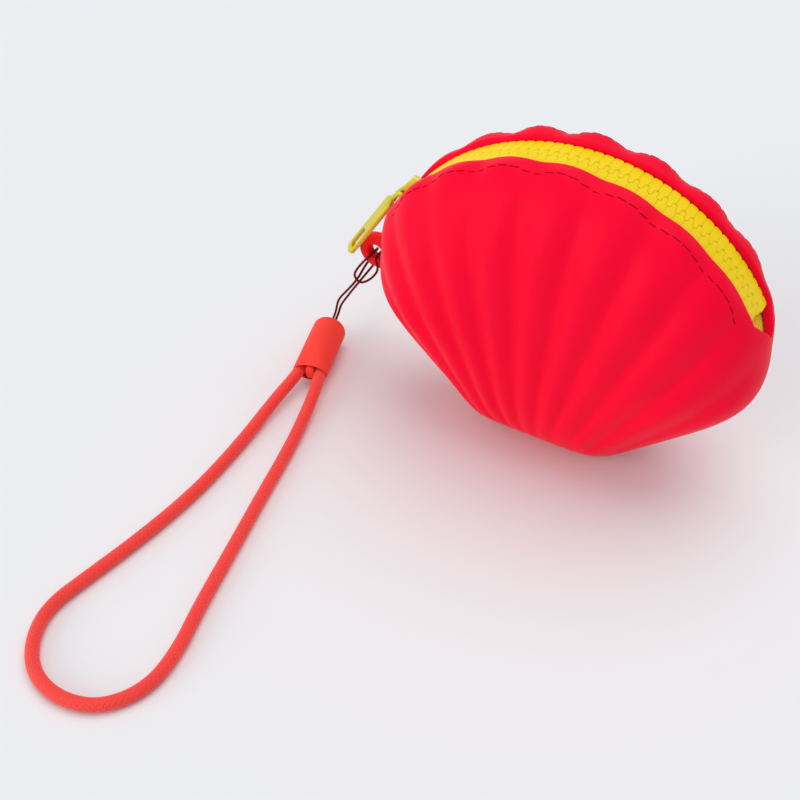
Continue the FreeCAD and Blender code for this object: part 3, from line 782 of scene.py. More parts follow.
def rounded_bar(width: float, height: float, corner: float, steps: int = 3) -> np.ndarray:
    """Give a rectangular section with rounded corners.

    Args:
        width: Full width.
        height: Full height.
        corner: Radius of the corners.
        steps: Steps in each corner.

    Returns:
        The section's points in order.
    """
    points = []
    for quarter, (x, y) in enumerate(((1, 1), (-1, 1), (-1, -1), (1, -1))):
        centre = np.array((x * (width / 2 - corner), y * (height / 2 - corner)))
        for turn in np.linspace(0, math.pi / 2, steps + 1) + quarter * math.pi / 2:
            points.append(centre + corner * np.array((math.cos(turn), math.sin(turn))))
    return np.array(points)


@dataclass
class MeshParts:
    """Points, faces and face-corner UVs of a mesh, in millimetres until it is made."""

    points: list[Point] = field(default_factory=list)
    faces: list[tuple[int, ...]] = field(default_factory=list)
    corner_uvs: list[list[tuple[float, float]]] = field(default_factory=list)
    upright_limit: float = 0.001

    def grid(self, rows: list, round_trip: bool = False) -> "MeshParts":
        """Add a sheet of quads from rows of points of the same count.

        Args:
            rows: Rows in order.
            round_trip: Whether each row closes on itself.

        Returns:
            These parts.
        """
        first = len(self.points)
        width = len(rows[0])
        for row in rows:
            self.points.extend(tuple(float(value) for value in point) for point in row)
        for line in range(len(rows) - 1):
            for step in range(width if round_trip else width - 1):
                after = (step + 1) % width
                low = first + line * width
                self.faces.append((low + step, low + after, low + width + after, low + width + step))
        return self

    def stack(self, rings: list) -> "MeshParts":
        """Add a closed solid from rings of points of the same count, with a flat face at each end.

        Args:
            rings: Rings in order.

        Returns:
            These parts.
        """
        first = len(self.points)
        self.grid(rings, round_trip=True)
        sides = len(rings[0])
        self.faces.append(tuple(range(first + sides - 1, first - 1, -1)))
        self.faces.append(tuple(range(len(self.points) - sides, len(self.points))))
        return self

    def tube(self, path: np.ndarray, section: np.ndarray) -> "MeshParts":
        """Add a closed tube: a section swept along a path without twisting.

        Args:
            path: Points of the path.
            section: Points of the section, across and up.

        Returns:
            These parts.
        """
        sides = len(section)
        ahead = np.gradient(path, axis=0)
        ahead /= np.linalg.norm(ahead, axis=1)[:, None]
        across = np.cross(ahead[0], (0.0, 0.0, 1.0))
        if np.linalg.norm(across) < self.upright_limit:
            across = np.cross(ahead[0], (0.0, 1.0, 0.0))
        rings = []
        for place, heading in zip(path, ahead):
            across = across - heading * (across @ heading)
            across /= np.linalg.norm(across)
            up = np.cross(across, heading)
            rings.append([place + across * x + up * y for x, y in section])
        self.stack(rings)
        along = run(path) * MM
        for near, far in zip(along[:-1], along[1:]):
            for step in range(sides):
                low, high = step / sides, (step + 1) / sides
                self.corner_uvs.append([(low, near), (high, near), (high, far), (low, far)])
        self.corner_uvs.extend([[(0.0, 0.0)] * sides, [(0.0, float(along[-1]))] * sides])
        return self

    def make(self, name: str, sharp: float = 40.0) -> Piece:
        """Make the object, with merged seams and faces that point outwards.

        Args:
            name: The piece's name.
            sharp: Angle in degrees past which an edge stays sharp.

        Returns:
            The object, linked to the scene.
        """
        mesh = bpy.data.meshes.new(name)
        mesh.from_pydata([tuple(value * MM for value in point) for point in self.points], [], self.faces)
        if self.corner_uvs:
            flat = [value for face in self.corner_uvs for pair in face for value in pair]
            mesh.uv_layers.new(name="UVMap").data.foreach_set("uv", flat)
        weld(mesh)
        return put(name, smooth(mesh, sharp))


# The shell


@dataclass
class ShellForm:
    """The smooth scallop form of one half, with its ribs' sizes. Millimetres."""

    apex_depth: float = 18.0
    base_half_length: float = 20.0
    base_half_depth: float = 5.5
    top_centre_height: float = 27.3
    top_radius: float = 60.0
    half_width: float = 54.0
    half_depth: float = 23.0
    bulge_height: float = 45.0
    fullness_power: float = 3.2
    corner_power: float = 16.0
    base_corner_power: float = 30.0
    rib_count: float = 11.0
    rib_depth: float = 1.7
    valley_width: float = 0.12
    rib_edge_power: int = 4
    rib_rim_fade: tuple[float, float] = (0.7, 0.93)
    rib_rim_upward: float = 0.5
    rib_foot_height: float = 12.0
    lobe_rise: float = 1.0
    lip_lobe_share: float = 0.4
    lobe_grows: tuple[float, float] = (6.5, 10.5)
    lobe_runs_out: tuple[float, float] = (14.0, 20.0)

    @property
    def flank(self) -> float:
        """Angle from the vertical of the straight flanks."""
        return math.atan2(self.base_half_length, self.apex_depth)

    @property
    def sink(self) -> float:
        """How far the form runs below the flat base."""
        flat = (1 - (self.base_half_depth / self.half_depth) ** 2) ** (1 / self.fullness_power)
        return self.bulge_height * (1 / flat - 1)

    def outline_reach(self, across: np.ndarray, upward: np.ndarray) -> np.ndarray:
        """Give the distance from the fullest point to the outline.

        Args:
            across: Directions' parts along the width.
            upward: Directions' parts upwards.

        Returns:
            The distances.
        """
        lift = self.bulge_height - self.top_centre_height
        top = np.sqrt(self.top_radius ** 2 - (lift * across) ** 2) - lift * upward
        side = np.abs(across) / self.half_width
        flank_distance = (self.apex_depth + self.bulge_height) * math.sin(self.flank)
        facing = np.maximum(0, np.abs(across) * math.cos(self.flank) - upward * math.sin(self.flank))
        power = self.corner_power
        upper = (top ** -power + side ** power + (facing / flank_distance) ** power) ** (1 / power)
        lower = np.maximum(0, -upward) / (self.bulge_height + self.sink)
        power = self.base_corner_power
        return (upper ** power + lower ** power) ** (-1 / power)

    def fan_place(self, turn: np.ndarray, inset: float) -> tuple[np.ndarray, np.ndarray]:
        """Give the fan angle and the distance from the ribs' apex of places on the outline.

        Args:
            turn: Angles about the fullest point from straight up.
            inset: Distance within the outline.

        Returns:
            Fan angles and distances.
        """
        across, upward = np.sin(turn), np.cos(turn)
        reach = self.outline_reach(across, upward) - inset
        height = self.bulge_height + reach * upward + self.apex_depth
        return np.arctan2(reach * across, height), np.hypot(reach * across, height)

    def from_fullest(self, x: np.ndarray, z: np.ndarray) -> tuple[np.ndarray, np.ndarray, np.ndarray]:
        """Give how places lie from the fullest point.

        Args:
            x: Places along the width.
            z: Their heights.

        Returns:
            Directions' parts along the width and upwards, and the distances.
        """
        rise = z - self.bulge_height
        away = np.maximum(np.hypot(x, rise), TINY)
        return x / away, rise / away, away

    def spread(self, x: np.ndarray, z: np.ndarray, inset: float = 0.0) -> np.ndarray:
        """Give how far places lie from the fullest point as a share of the way to the outline.

        Args:
            x: Places along the width.
            z: Their heights.
            inset: Distance of the line within the outline that counts as 1.

        Returns:
            The shares, 1 on the outline.
        """
        across, upward, away = self.from_fullest(x, z)
        return np.minimum(1, away / (self.outline_reach(across, upward) - inset))

    def column(self, u: float, inset: float, count: int = 420) -> np.ndarray:
        """Give one line of the form from the base to the top edge, along the ribs.

        Args:
            u: Place across, from -1 to 1.
            inset: Distance within the outer form.
            count: Number of points.

        Returns:
            The points, with depth from 0 upwards.
        """
        across = math.sin(u * math.pi / 2)
        share = (1 + np.sin(np.linspace(-1, 1, count) * math.pi / 2)) / 2
        low_turn = math.atan2(self.apex_depth * math.tan(self.flank), -self.bulge_height)
        foot = math.atan2(self.apex_depth * math.tan(across * self.flank), -self.bulge_height)
        base = self.fan_place(np.array(foot), inset)
        top = self.fan_place(np.array(across * math.pi / 2), inset)
        side = self.fan_place(low_turn + (math.pi / 2 - low_turn) * share, inset)
        low = self.fan_place(np.array(low_turn), inset)
        high = self.fan_place(np.array(math.pi / 2), inset)
        bow = [side[k] - (1 - share) * low[k] - share * high[k] for k in (0, 1)]
        fan = (1 - share) * base[0] + share * top[0] + across * bow[0]
        reach = (1 - share) * base[1] + share * top[1] + bow[1]
        x, z = reach * np.sin(fan), reach * np.cos(fan) - self.apex_depth
        fullness = np.maximum(0, 1 - self.spread(x, z, inset) ** self.fullness_power)
        depth = (self.half_depth - inset) * np.sqrt(fullness)
        if abs(across) > 1 - TINY:
            depth[:] = 0
        depth[0] = depth[-1] = 0
        return np.column_stack([x, depth, z])

    def rib_pull(self, points: np.ndarray) -> np.ndarray:
        """Give how a valley between ribs moves points inwards.

        Args:
            points: The points.

        Returns:
            A move for each point, as a share of the ribs' depth.
        """
        x, y, z = points.T
        spread = self.spread(x, z)
        upward = self.from_fullest(x, z)[1]
        rim = ease(spread, *self.rib_rim_fade) * ease(upward, 0.0, self.rib_rim_upward)
        fade = (1 - spread ** self.rib_edge_power) * (1 - rim)
        taper = np.hypot(x, z + self.apex_depth) / (self.apex_depth + self.bulge_height)
        pull = fade * (taper * ease(z, 0.0, self.rib_foot_height))
        return np.column_stack([0 * x, -np.sign(y) * pull, 0 * x])

    def lobe_pull(self, points: np.ndarray) -> np.ndarray:
        """Give how the crest of a rib lifts points of the rim.

        Args:
            points: The points.

        Returns:
            A move for each point, as a share of the lobes' rise.
        """
        x, y, z = points.T
        across, upward, _ = self.from_fullest(x, z)
        top_share = ((1 + upward) / 2) ** 2
        fade = self.lip_lobe_share + (1 - self.lip_lobe_share) * ease(np.abs(y), *self.lobe_grows)
        share = top_share * fade * self.spread(x, z) ** 2 * (1 - ease(np.abs(y), *self.lobe_runs_out))
        return np.column_stack([across * share, 0 * x, upward * share])

    def tree_values(self) -> dict[str, object]:
        """Give the inputs of the tree that presses the ribs.

        Returns:
            A value for each named input, with lengths in metres.
        """
        return {"Rib Count": self.rib_count, "Flank Angle": self.flank, "Apex Depth": self.apex_depth * MM,
                "Valley Width": self.valley_width, "Rib Depth": self.rib_depth * MM,
                "Lobe Rise": self.lobe_rise * MM}


@dataclass
class SiliconeBody:
    """The one-piece silicone body with its two lips. Millimetres and degrees."""

    form: ShellForm
    wardrobe: Wardrobe
    wall: float = 2.0
    lip_wall: float = 2.2
    lip_radius: float = 57.6
    lip_slope: float = 0.05
    lip_end: float = 61.5
    lip_run_out: float = 6.0
    lip_run_out_rise: float = 5.0
    lip_reach: float = 72.0
    shoulder_offset: float = 10.0
    shoulder_slope: float = 3.0
    crease: float = 1.2
    base_round: float = 0.6
    half_gap: float = 5.6
    mouth_half_angle: float = 58.5
    mouth_taper: float = 7.0
    full_round_gap: float = 1.5
    edge_round: float = 0.7
    edge_crown: float = 0.1
    inner_round: float = 0.3
    inner_chamfer: float = 0.09
    bend_offset: float = 4.3
    columns_in_mouth: int = 168
    columns_at_end: int = 14
    rows: int = 64
    inner_rows: int = 40
    halvings: int = 50
    sharp: float = 60.0
    shell: Piece | None = None

    def on_zip(self, points: np.ndarray) -> tuple[np.ndarray, np.ndarray]:
        """Give angles along the zip and distances from its centre."""
        x, z = points[:, 0], points[:, 2] - self.form.top_centre_height
        return np.arctan2(x, z), np.hypot(x, z)

    def gap(self, angle: np.ndarray) -> np.ndarray:
        """Give half the mouth's width at angles along the zip."""
        past = (np.abs(angle) - math.radians(self.mouth_half_angle)) * self.lip_radius
        return self.half_gap * np.clip(1 - past / self.mouth_taper, 0, 1)

    def lip(self, depth: np.ndarray, angle: np.ndarray) -> np.ndarray:
        """Give the radius of the lips' upper face.

        Args:
            depth: Depths from the middle.
            angle: Angles along the zip.

        Returns:
            The distances from the zip's centre.
        """
        rise = np.clip(depth - self.half_gap, 0, None) * self.lip_slope
        steep = np.clip(depth - self.shoulder_offset, 0, None) * self.shoulder_slope
        past = ease(np.abs(np.degrees(angle)), self.lip_end, self.lip_end + self.lip_run_out)
        return self.lip_radius + rise + steep + self.lip_run_out_rise * past

    def lowered(self, points: np.ndarray, drop_by: float) -> np.ndarray:
        """Bring a line down to the lips' face, or to one below it.

        Args:
            points: The line.
            drop_by: Distance below the lips' upper face.

        Returns:
            The line, flat across the lips and at the base.
        """
        angle, radius = self.on_zip(points)
        near = np.abs(angle) < math.radians(self.lip_reach)
        limit = np.where(near, self.lip(points[:, 1], angle) - drop_by, math.inf)
        crossing = near & (radius > limit - 2 * self.crease)
        radius[crossing] = soft_lower(radius[crossing], limit[crossing], self.crease)
        height = self.form.top_centre_height + radius * np.cos(angle)
        height = -soft_lower(-height, np.zeros(len(height)), self.base_round)
        return np.column_stack([radius * np.sin(angle), points[:, 1], height])

    def cut(self, points: np.ndarray, short_of: np.ndarray) -> np.ndarray:
        """End a line where its depth falls to a limit near the top.

        Args:
            points: The line from the base up.
            short_of: The limit at each point.

        Returns:
            The shorter line.
        """
        over = points[:, 1] - short_of
        last = np.nonzero(over > 0)[0][-1]
        share = over[last] / (over[last] - over[last + 1])
        end = points[last] + (points[last + 1] - points[last]) * share
        return np.vstack([points[: last + 1], end])

    def tip(self) -> float:
        """Find the mouth's pointed end by halving.

        Returns:
            Its place across.
        """
        wanted = math.radians(self.mouth_half_angle) + self.mouth_taper / self.lip_radius
        low, high = 0.5, 1.0
        for _ in range(self.halvings):
            middle = (low + high) / 2
            angle, _ = self.on_zip(self.form.column(middle, 0.0)[-1:])
            low, high = (middle, high) if angle[0] < wanted else (low, middle)
        return low

    def shut_column(self, u: float) -> tuple[np.ndarray, np.ndarray]:
        """Give the outer and inner lines from the base to the top edge, as beyond the mouth's ends."""
        outer = self.lowered(self.form.column(u, 0.0), 0.0)
        return outer, self.lowered(self.form.column(u, self.wall), self.lip_wall)

    def open_column(self, u: float) -> tuple[np.ndarray, np.ndarray, np.ndarray]:
        """Give the outer line, the lip and the inner line where the mouth is open.

        Args:
            u: Place across.

        Returns:
            The three lines: base to lip, over the lip, and base to the lip's underside.
        """
        outer, inner = self.shut_column(u)
        gap = self.gap(self.on_zip(outer)[0])
        outer = self.cut(outer, gap + self.edge_round * np.minimum(1, gap / self.full_round_gap))
        angle, radius = (float(value[0]) for value in self.on_zip(outer[-1:]))
        width = float(self.gap(np.array(angle)))
        small = min(1.0, width / self.full_round_gap)
        inner = self.cut(inner, np.full(len(inner), width + self.inner_round * small))
        inner_angle, inner_radius = (float(value[0]) for value in self.on_zip(inner[-1:]))
        start = np.array((outer[-1][1], radius))
        corner = np.array((width, radius - self.edge_crown * small))
        below = np.array((width, radius - self.edge_round))
        foot = np.array((width, inner_radius + self.inner_round))
        rim = [(1 - t) ** 2 * start + 2 * t * (1 - t) * corner + t * t * below
               for t in (0.25, 0.5, 0.75, 1.0)]
        rim += [below + (foot - below) * t for t in (0.5, 1.0)]
        rim.append(np.array((width + self.inner_chamfer * small, inner_radius + self.inner_chamfer)))
        turns = np.linspace(angle, inner_angle, len(rim) + 2)[1:-1]
        height = self.form.top_centre_height
        lip = np.array([(r * math.sin(a), y, height + r * math.cos(a)) for (y, r), a in zip(rim, turns)])
        return outer, lip, inner

    def mesh(self) -> Piece:
        """Build the smooth body, before its ribs.

        Returns:
            The piece.
        """
        tip = self.tip()
        outside = np.linspace(-1, -tip, self.columns_at_end + 1)
        shut = []
        for places in (outside, -outside[::-1]):
            lines = [self.shut_column(u) for u in places]
            shut.append(([resample(outer, self.rows) for outer, _ in lines],
                         [resample(inner, self.inner_rows) for _, inner in lines]))
        opened = []
        for u in np.linspace(-tip, tip, self.columns_in_mouth + 1):
            outer, lip, inner = self.open_column(u)
            opened.append((resample(outer, self.rows), lip, resample(inner, self.inner_rows)))
        for (outer, lip, inner), end, column in ((opened[0], shut[0], -1), (opened[-1], shut[1], 0)):
            outer[-1, 1] = inner[-1, 1] = 0
            lip[:, 1] = 0
            end[0][column], end[1][column] = outer, inner
        over = [np.vstack([outer, lip, inner[::-1]]) for outer, lip, inner in opened]
        parts = MeshParts()
        for side in Side:
            flip = np.array((1, side.value, 1))
            for sheet in (over, *shut[0], *shut[1]):
                parts.grid([line * flip for line in sheet])
        return parts.make("silicone_body", self.sharp)

    def ribbed(self, piece: Piece) -> Piece:
        """Press the ribs and the scalloped rim into the smooth body.

        Args:
            piece: The smooth body.

        Returns:
            The same piece with ribs.
        """
        places = np.zeros(len(piece.data.vertices) * 3, np.float32)
        piece.data.vertices.foreach_get("co", places)
        points = places.reshape(-1, 3).astype(float) / MM
        tree = GeometryTree("fan_ribs")
        wave = tree.fan_wave(tree.node("GeometryNodeInputPosition").outputs["Position"])
        valley = tree.sum("DIVIDE", tree.sum("SUBTRACT", 1.0, wave), 2.0)
        offsets = []
        pulls = {"rib_pull": (self.form.rib_pull, "Rib Depth", valley),
                 "lobe_pull": (self.form.lobe_pull, "Lobe Rise", wave)}
        for label, (pull, size, share) in pulls.items():
            layer = piece.data.attributes.new(label, "FLOAT_VECTOR", "POINT")
            layer.data.foreach_set("vector", pull(points).astype(np.float32).ravel())
            named = tree.nodes.new("GeometryNodeInputNamedAttribute")
            named.data_type = "FLOAT_VECTOR"
            named.inputs["Name"].default_value = label
            amount = tree.sum("MULTIPLY", share, tree.input(size))
            offsets.append(tree.scaled(named.outputs["Attribute"], amount))
        moved = tree.node("GeometryNodeSetPosition", Geometry=tree.entry.outputs["Geometry"],
                          Offset=tree.added(*offsets))
        tree.finish(moved.outputs["Geometry"])
        tree.run(piece, {**self.form.tree_values(), "Material": self.wardrobe.material("silicone")})
        for label in pulls:
            piece.data.attributes.remove(piece.data.attributes[label])
        return piece

    def mesh_with_ribs(self) -> Piece:
        """Give the finished shell, which is built once.

        Returns:
            The piece.
        """
        if self.shell is None:
            self.shell = self.ribbed(self.mesh())
        return self.shell

    def build(self) -> list[Piece]:
        """Build, dress and place the body.

        Returns:
            Its one piece.
        """
        piece = self.mesh_with_ribs()
        self.wardrobe.dress(piece, "silicone")
        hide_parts("front_shell", "rear_shell")
        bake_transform(piece)
        return [piece]


@dataclass
class StrapLug:
    """The silicone loop at the left end that the string is tied to. Millimetres and degrees."""

    form: ShellForm
    wardrobe: Wardrobe
    hole_x: float = -58.93
    hole_z: float = 34.6
    front: float = 2.4
    thickness: float = 3.2
    radius: float = 5.2
    hole_radius: float = 2.1
    root_flare: float = 0.095
    root_depth: float = 2.64
    longest: float = 40.0
    probe: float = 0.1
    edge_round: float = 0.75
    steps: int = 72
    sharp: float = 60.0

    def reach(self, turn: float) -> float:
        """Give the loop's outer edge from the hole's centre: round outside, running into the body inside.

        Args:
            turn: Direction about the hole, 0 towards the body.

        Returns:
            The distance.
        """
        x, z = math.cos(turn), math.sin(turn)
        if x <= 0:
            return self.radius
        rise = max(abs(z) - self.root_flare * x, TINY)
        reach = min(self.radius / rise, self.longest)
        deep = self.front + self.thickness / 2 + self.root_depth
        for step in np.arange(self.radius, reach, self.probe):
            place = np.array((self.hole_x + step * x,)), np.array((self.hole_z + step * z,))
            fullness = 1 - self.form.spread(*place)[0] ** self.form.fullness_power
            if self.form.half_depth * math.sqrt(fullness) > deep:
                return float(step)
        return float(reach)

    def build(self) -> list[Piece]:
        """Build, dress and place the loop.

        Returns:
            Its one piece.
        """
        rings = []
        for turn in np.linspace(0, 2 * math.pi, self.steps, endpoint=False):
            outer = self.reach(float(turn))
            section = rounded_bar(outer - self.hole_radius, self.thickness, self.edge_round)
            middle = (outer + self.hole_radius) / 2
            rings.append([(self.hole_x + (middle + across) * math.cos(turn),
                           self.front + self.thickness / 2 + up,
                           self.hole_z + (middle + across) * math.sin(turn)) for across, up in section])
        piece = MeshParts().grid(rings + rings[:1], round_trip=True).make("strap_loop_lug", self.sharp)
        return [self.wardrobe.fit(piece, "lug_silicone", Body.PURSE, "strap_lug")]


# The zip


@dataclass
class ArcRow:
    """A row of one small shape along the zip's arc, made by Geometry Nodes. Millimetres and degrees."""

    centre_height: float
    count: int
    first: float
    pitch: float
    radius: float
    offset: float = 0.0
    ground: Piece | None = None
    drop_from: float = 8.0

    def on_ground(self, tree: GeometryTree, place: Socket, outward: Socket,
                  ahead: Socket) -> tuple[Socket, Socket]:
        """Set places down on the piece below them.

        Args:
            tree: Nodes to add to.
            place: Places above the piece.
            outward: Directions away from the zip's centre.
            ahead: Directions along the row.

        Returns:
            The places on the piece and the turns that stand on it.
        """
        below = tree.node("GeometryNodeObjectInfo", Object=tree.input("Ground", "NodeSocketObject"))
        cast = tree.node(
            "GeometryNodeRaycast", Target_Geometry=below.outputs["Geometry"], Source_Position=place,
            Ray_Direction=tree.scaled(outward, -1.0), Ray_Length=tree.input("Ray Length"))
        align = "FunctionNodeAlignRotationToVector"
        upright = tree.node(align, Vector=cast.outputs["Hit Normal"])
        upright.axis = "Z"
        turned = tree.node(align, Rotation=upright.outputs["Rotation"], Vector=ahead)
        turned.axis = "X"
        turned.pivot_axis = "Z"
        return cast.outputs["Hit Position"], turned.outputs["Rotation"]

    def build(self, name: str, shape: Piece, material: bpy.types.Material) -> Piece:
        """Set copies of a shape along the row.

        Args:
            name: The piece's name.
            shape: Helper object, made at the origin with its top up. It is removed.
            material: Finish of the copies.

        Returns:
            One mesh piece.
        """
        tree = GeometryTree(name + "_row")
        count = tree.input("Count", "NodeSocketInt")
        index = tree.node("GeometryNodeInputIndex").outputs["Index"]
        onward = tree.sum("MULTIPLY", index, tree.input("Pitch Angle"))
        angle = tree.sum("ADD", tree.input("First Angle"), onward)
        sine, cosine = tree.sum("SINE", angle), tree.sum("COSINE", angle)
        outward = tree.vector(X=sine, Z=cosine)
        ahead = tree.vector(X=cosine, Z=tree.sum("MULTIPLY", sine, -1.0))
        base = tree.vector(Y=tree.input("Offset"), Z=tree.input("Centre Height"))
        place = tree.added(base, tree.scaled(outward, tree.input("Radius")))
        values = {
            "Count": self.count, "First Angle": math.radians(self.first),
            "Pitch Angle": math.radians(self.pitch), "Offset": self.offset * MM,
            "Centre Height": self.centre_height * MM, "Radius": self.radius * MM, "Shape": shape,
            "Material": material,
        }
        if self.ground:
            place, turned = self.on_ground(tree, place, outward, ahead)
            values |= {"Ground": self.ground, "Ray Length": 2 * self.drop_from * MM,
                       "Radius": (self.radius + self.drop_from) * MM}
        else:
            euler = tree.vector(Y=angle)
            turned = tree.node("FunctionNodeEulerToRotation", Euler=euler).outputs["Rotation"]
        points = tree.node("GeometryNodePoints", Count=count, Position=place)
        shown = tree.node("GeometryNodeObjectInfo", Object=tree.input("Shape", "NodeSocketObject"))
        copies = tree.node("GeometryNodeInstanceOnPoints", Points=points.outputs[0],
                           Instance=shown.outputs["Geometry"], Rotation=turned)
        tree.finish(copies.outputs["Instances"])
        piece = tree.run(put(name, bpy.data.meshes.new(name)), values)
        bpy.data.objects.remove(shape)
        return piece


@dataclass
class Zip:
    """The curved zip: tapes, teeth, stops and slider. Millimetres and degrees.

    An outline of a tooth goes by half its width and the distance from the zip's middle, or from the
    tooth's outer end. A layer of it goes by depth below its top, share of width and share of length.
    """

    form: ShellForm
    wardrobe: Wardrobe
    tape_radius: float = 54.35
    tape_thickness: float = 0.5
    tape_round: float = 0.2
    tape_round_steps: int = 2
    tape_edge: float = 0.9
    tape_half_width: float = 7.8
    tape_half_angle: float = 64.5
    tape_narrows_at: float = 59.0
    tape_end_width: float = 4.2
    tape_end_rise: float = 0.7
    tape_joins: tuple[float, float] = (49.0, 51.0)
    tape_rows: int = 141
    tooth_count: int = 42
    tooth_pitch: float = 2.5
    tooth_reach: float = 5.45
    tooth_lift: float = 0.8
    first_tooth: float = -51.696
    tooth_head: Outline = (
        (0.25, -1.1), (0.52, -0.98), (0.628, -0.65), (0.628, 0.72), (0.74, 1.02), (1.04, 1.24), (1.28, 1.38))
    tooth_end: Outline = ((1.28, 0.7), (1.08, 0.25), (0.62, 0.0))
    tooth_layers: tuple[Point, ...] = (
        (2.4, 0.93, 0.96), (0.22, 1.0, 1.0), (0.06, 0.995, 0.985), (0.0, 0.97, 0.95))
    tooth_sharp: float = 35.0
    slider_round: float = 0.22
    bridge_round: float = 0.2
    round_steps: int = 2
    flat_angle: float = 0.5
    hard_angle: float = 35.0
    slider_sharp: float = 45.0

    def on_arc(self, angle: float, depth: float, radius: float) -> Point:
        """Give the place at an angle along the zip, a depth and a distance from the zip's centre."""
        return (radius * math.sin(angle), depth, self.form.top_centre_height + radius * math.cos(angle))

    def tape(self, side: Side) -> Piece:
        """Build one woven tape, narrower and a little higher at its ends.

        Args:
            side: The tape's side.

        Returns:
            The piece.
        """
        full = self.tape_half_width - self.tape_edge
        section = rounded_bar(full, self.tape_thickness, self.tape_round, self.tape_round_steps)
        angles = np.radians(np.linspace(-self.tape_half_angle, self.tape_half_angle, self.tape_rows))
        rings = []
        for angle in angles:
            turn = abs(math.degrees(angle))
            past = ease(turn, self.tape_narrows_at, self.tape_half_angle)
            width = full + (self.tape_end_width - full) * past
            middle = self.tape_edge * (1 - ease(turn, *self.tape_joins)) + width / 2
            radius = self.tape_radius + self.tape_end_rise * past
            rings.append([self.on_arc(angle, side.value * (middle + across * width / full), radius + up)
                          for across, up in section])
        parts = MeshParts().stack(rings)
        edges = section[:, 0] * MM
        along = angles * self.tape_radius * MM
        for near, far in zip(along[:-1], along[1:]):
            for low, high in zip(edges, np.roll(edges, -1)):
                parts.corner_uvs.append([(near, low), (near, high), (far, high), (far, low)])
        parts.corner_uvs.extend([[(0.0, 0.0)] * len(section)] * 2)
        piece = parts.make(f"{side.word}_zip_tape")
        return self.wardrobe.fit(piece, "zip_tape", side.body, f"{side.word}_tape")

    def tooth(self, side: Side) -> Piece:
        """Build one moulded tooth: a broad foot with a round end and a narrow head that locks in.

        Args:
            side: The side that its foot points to.

        Returns:
            A helper object at the origin.
        """
        half = [*self.tooth_head, *((x, self.tooth_reach - back) for x, back in self.tooth_end)]
        outline = half + [(-x, y) for x, y in reversed(half)]
        top = self.tooth_layers[0][0] / 2
        middle = self.tooth_reach / 2
        rings = [[(x * width, side.value * (middle + (y - middle) * long), top - down) for x, y in outline]
                 for down, width, long in self.tooth_layers]
        return MeshParts().stack(rings).make("tooth", self.tooth_sharp)

    def teeth(self, side: Side) -> Piece:
        """Build one row of teeth.

        Args:
            side: The row's side.

        Returns:
            The piece.
        """
        pitch = math.degrees(self.tooth_pitch / self.tape_radius)
        first = self.first_tooth + (pitch / 2 if side is Side.REAR else 0)
        radius = self.tape_radius + self.tooth_lift
        row = ArcRow(self.form.top_centre_height, self.tooth_count, first, pitch, radius)
        piece = row.build(f"{side.word}_zip_teeth", self.tooth(side), self.wardrobe.material("zip_teeth"))
        return self.wardrobe.fit(piece, "zip_teeth", side.body, f"{side.word}_teeth")

    def softened(self, node: str, name: str, width: float) -> Piece:
        """Build a piece of the slider from a node of the frame, with its hard edges rounded.

        Args:
            node: Name of the node.
            name: The piece's name.
            width: Width of the rounding.

        Returns:
            The piece.
        """
        shape = bmesh.new()
        shape.from_mesh(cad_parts[node].data)
        bmesh.ops.remove_doubles(shape, verts=shape.verts, dist=MICRON)
        bmesh.ops.dissolve_limit(shape, angle_limit=math.radians(self.flat_angle), verts=shape.verts,
                                 edges=shape.edges)
        limit = math.radians(self.hard_angle)
        hard = [edge for edge in shape.edges if edge.is_manifold and edge.calc_face_angle(0) > limit]
        bmesh.ops.bevel(shape, geom=hard, offset=width * MM, segments=self.round_steps, profile=0.5,
                        affect="EDGES", clamp_overlap=True)
        bmesh.ops.recalc_face_normals(shape, faces=shape.faces)
        mesh = bpy.data.meshes.new(name)
        shape.to_mesh(mesh)
        shape.free()
        piece = put(name, smooth(mesh, self.slider_sharp))
        return self.wardrobe.fit(piece, "slider_paint", Body.SLIDER, node)

    def build(self) -> list[Piece]:
        """Build, dress and place the tapes, teeth, stops and slider.

        Returns:
            The pieces.
        """
        pieces = []
        for side in (Side.REAR, Side.FRONT):
            pieces += [self.tape(side), self.teeth(side)]
        for node in ("front_top_stop", "rear_top_stop", "bottom_stop"):
            pieces.append(self.wardrobe.dress(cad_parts[node], "zip_teeth"))
        pieces.append(self.softened("slider_body", "zip_slider", self.slider_round))
        pieces.append(self.softened("slider_bridge", "zip_slider_bridge", self.bridge_round))
        return pieces


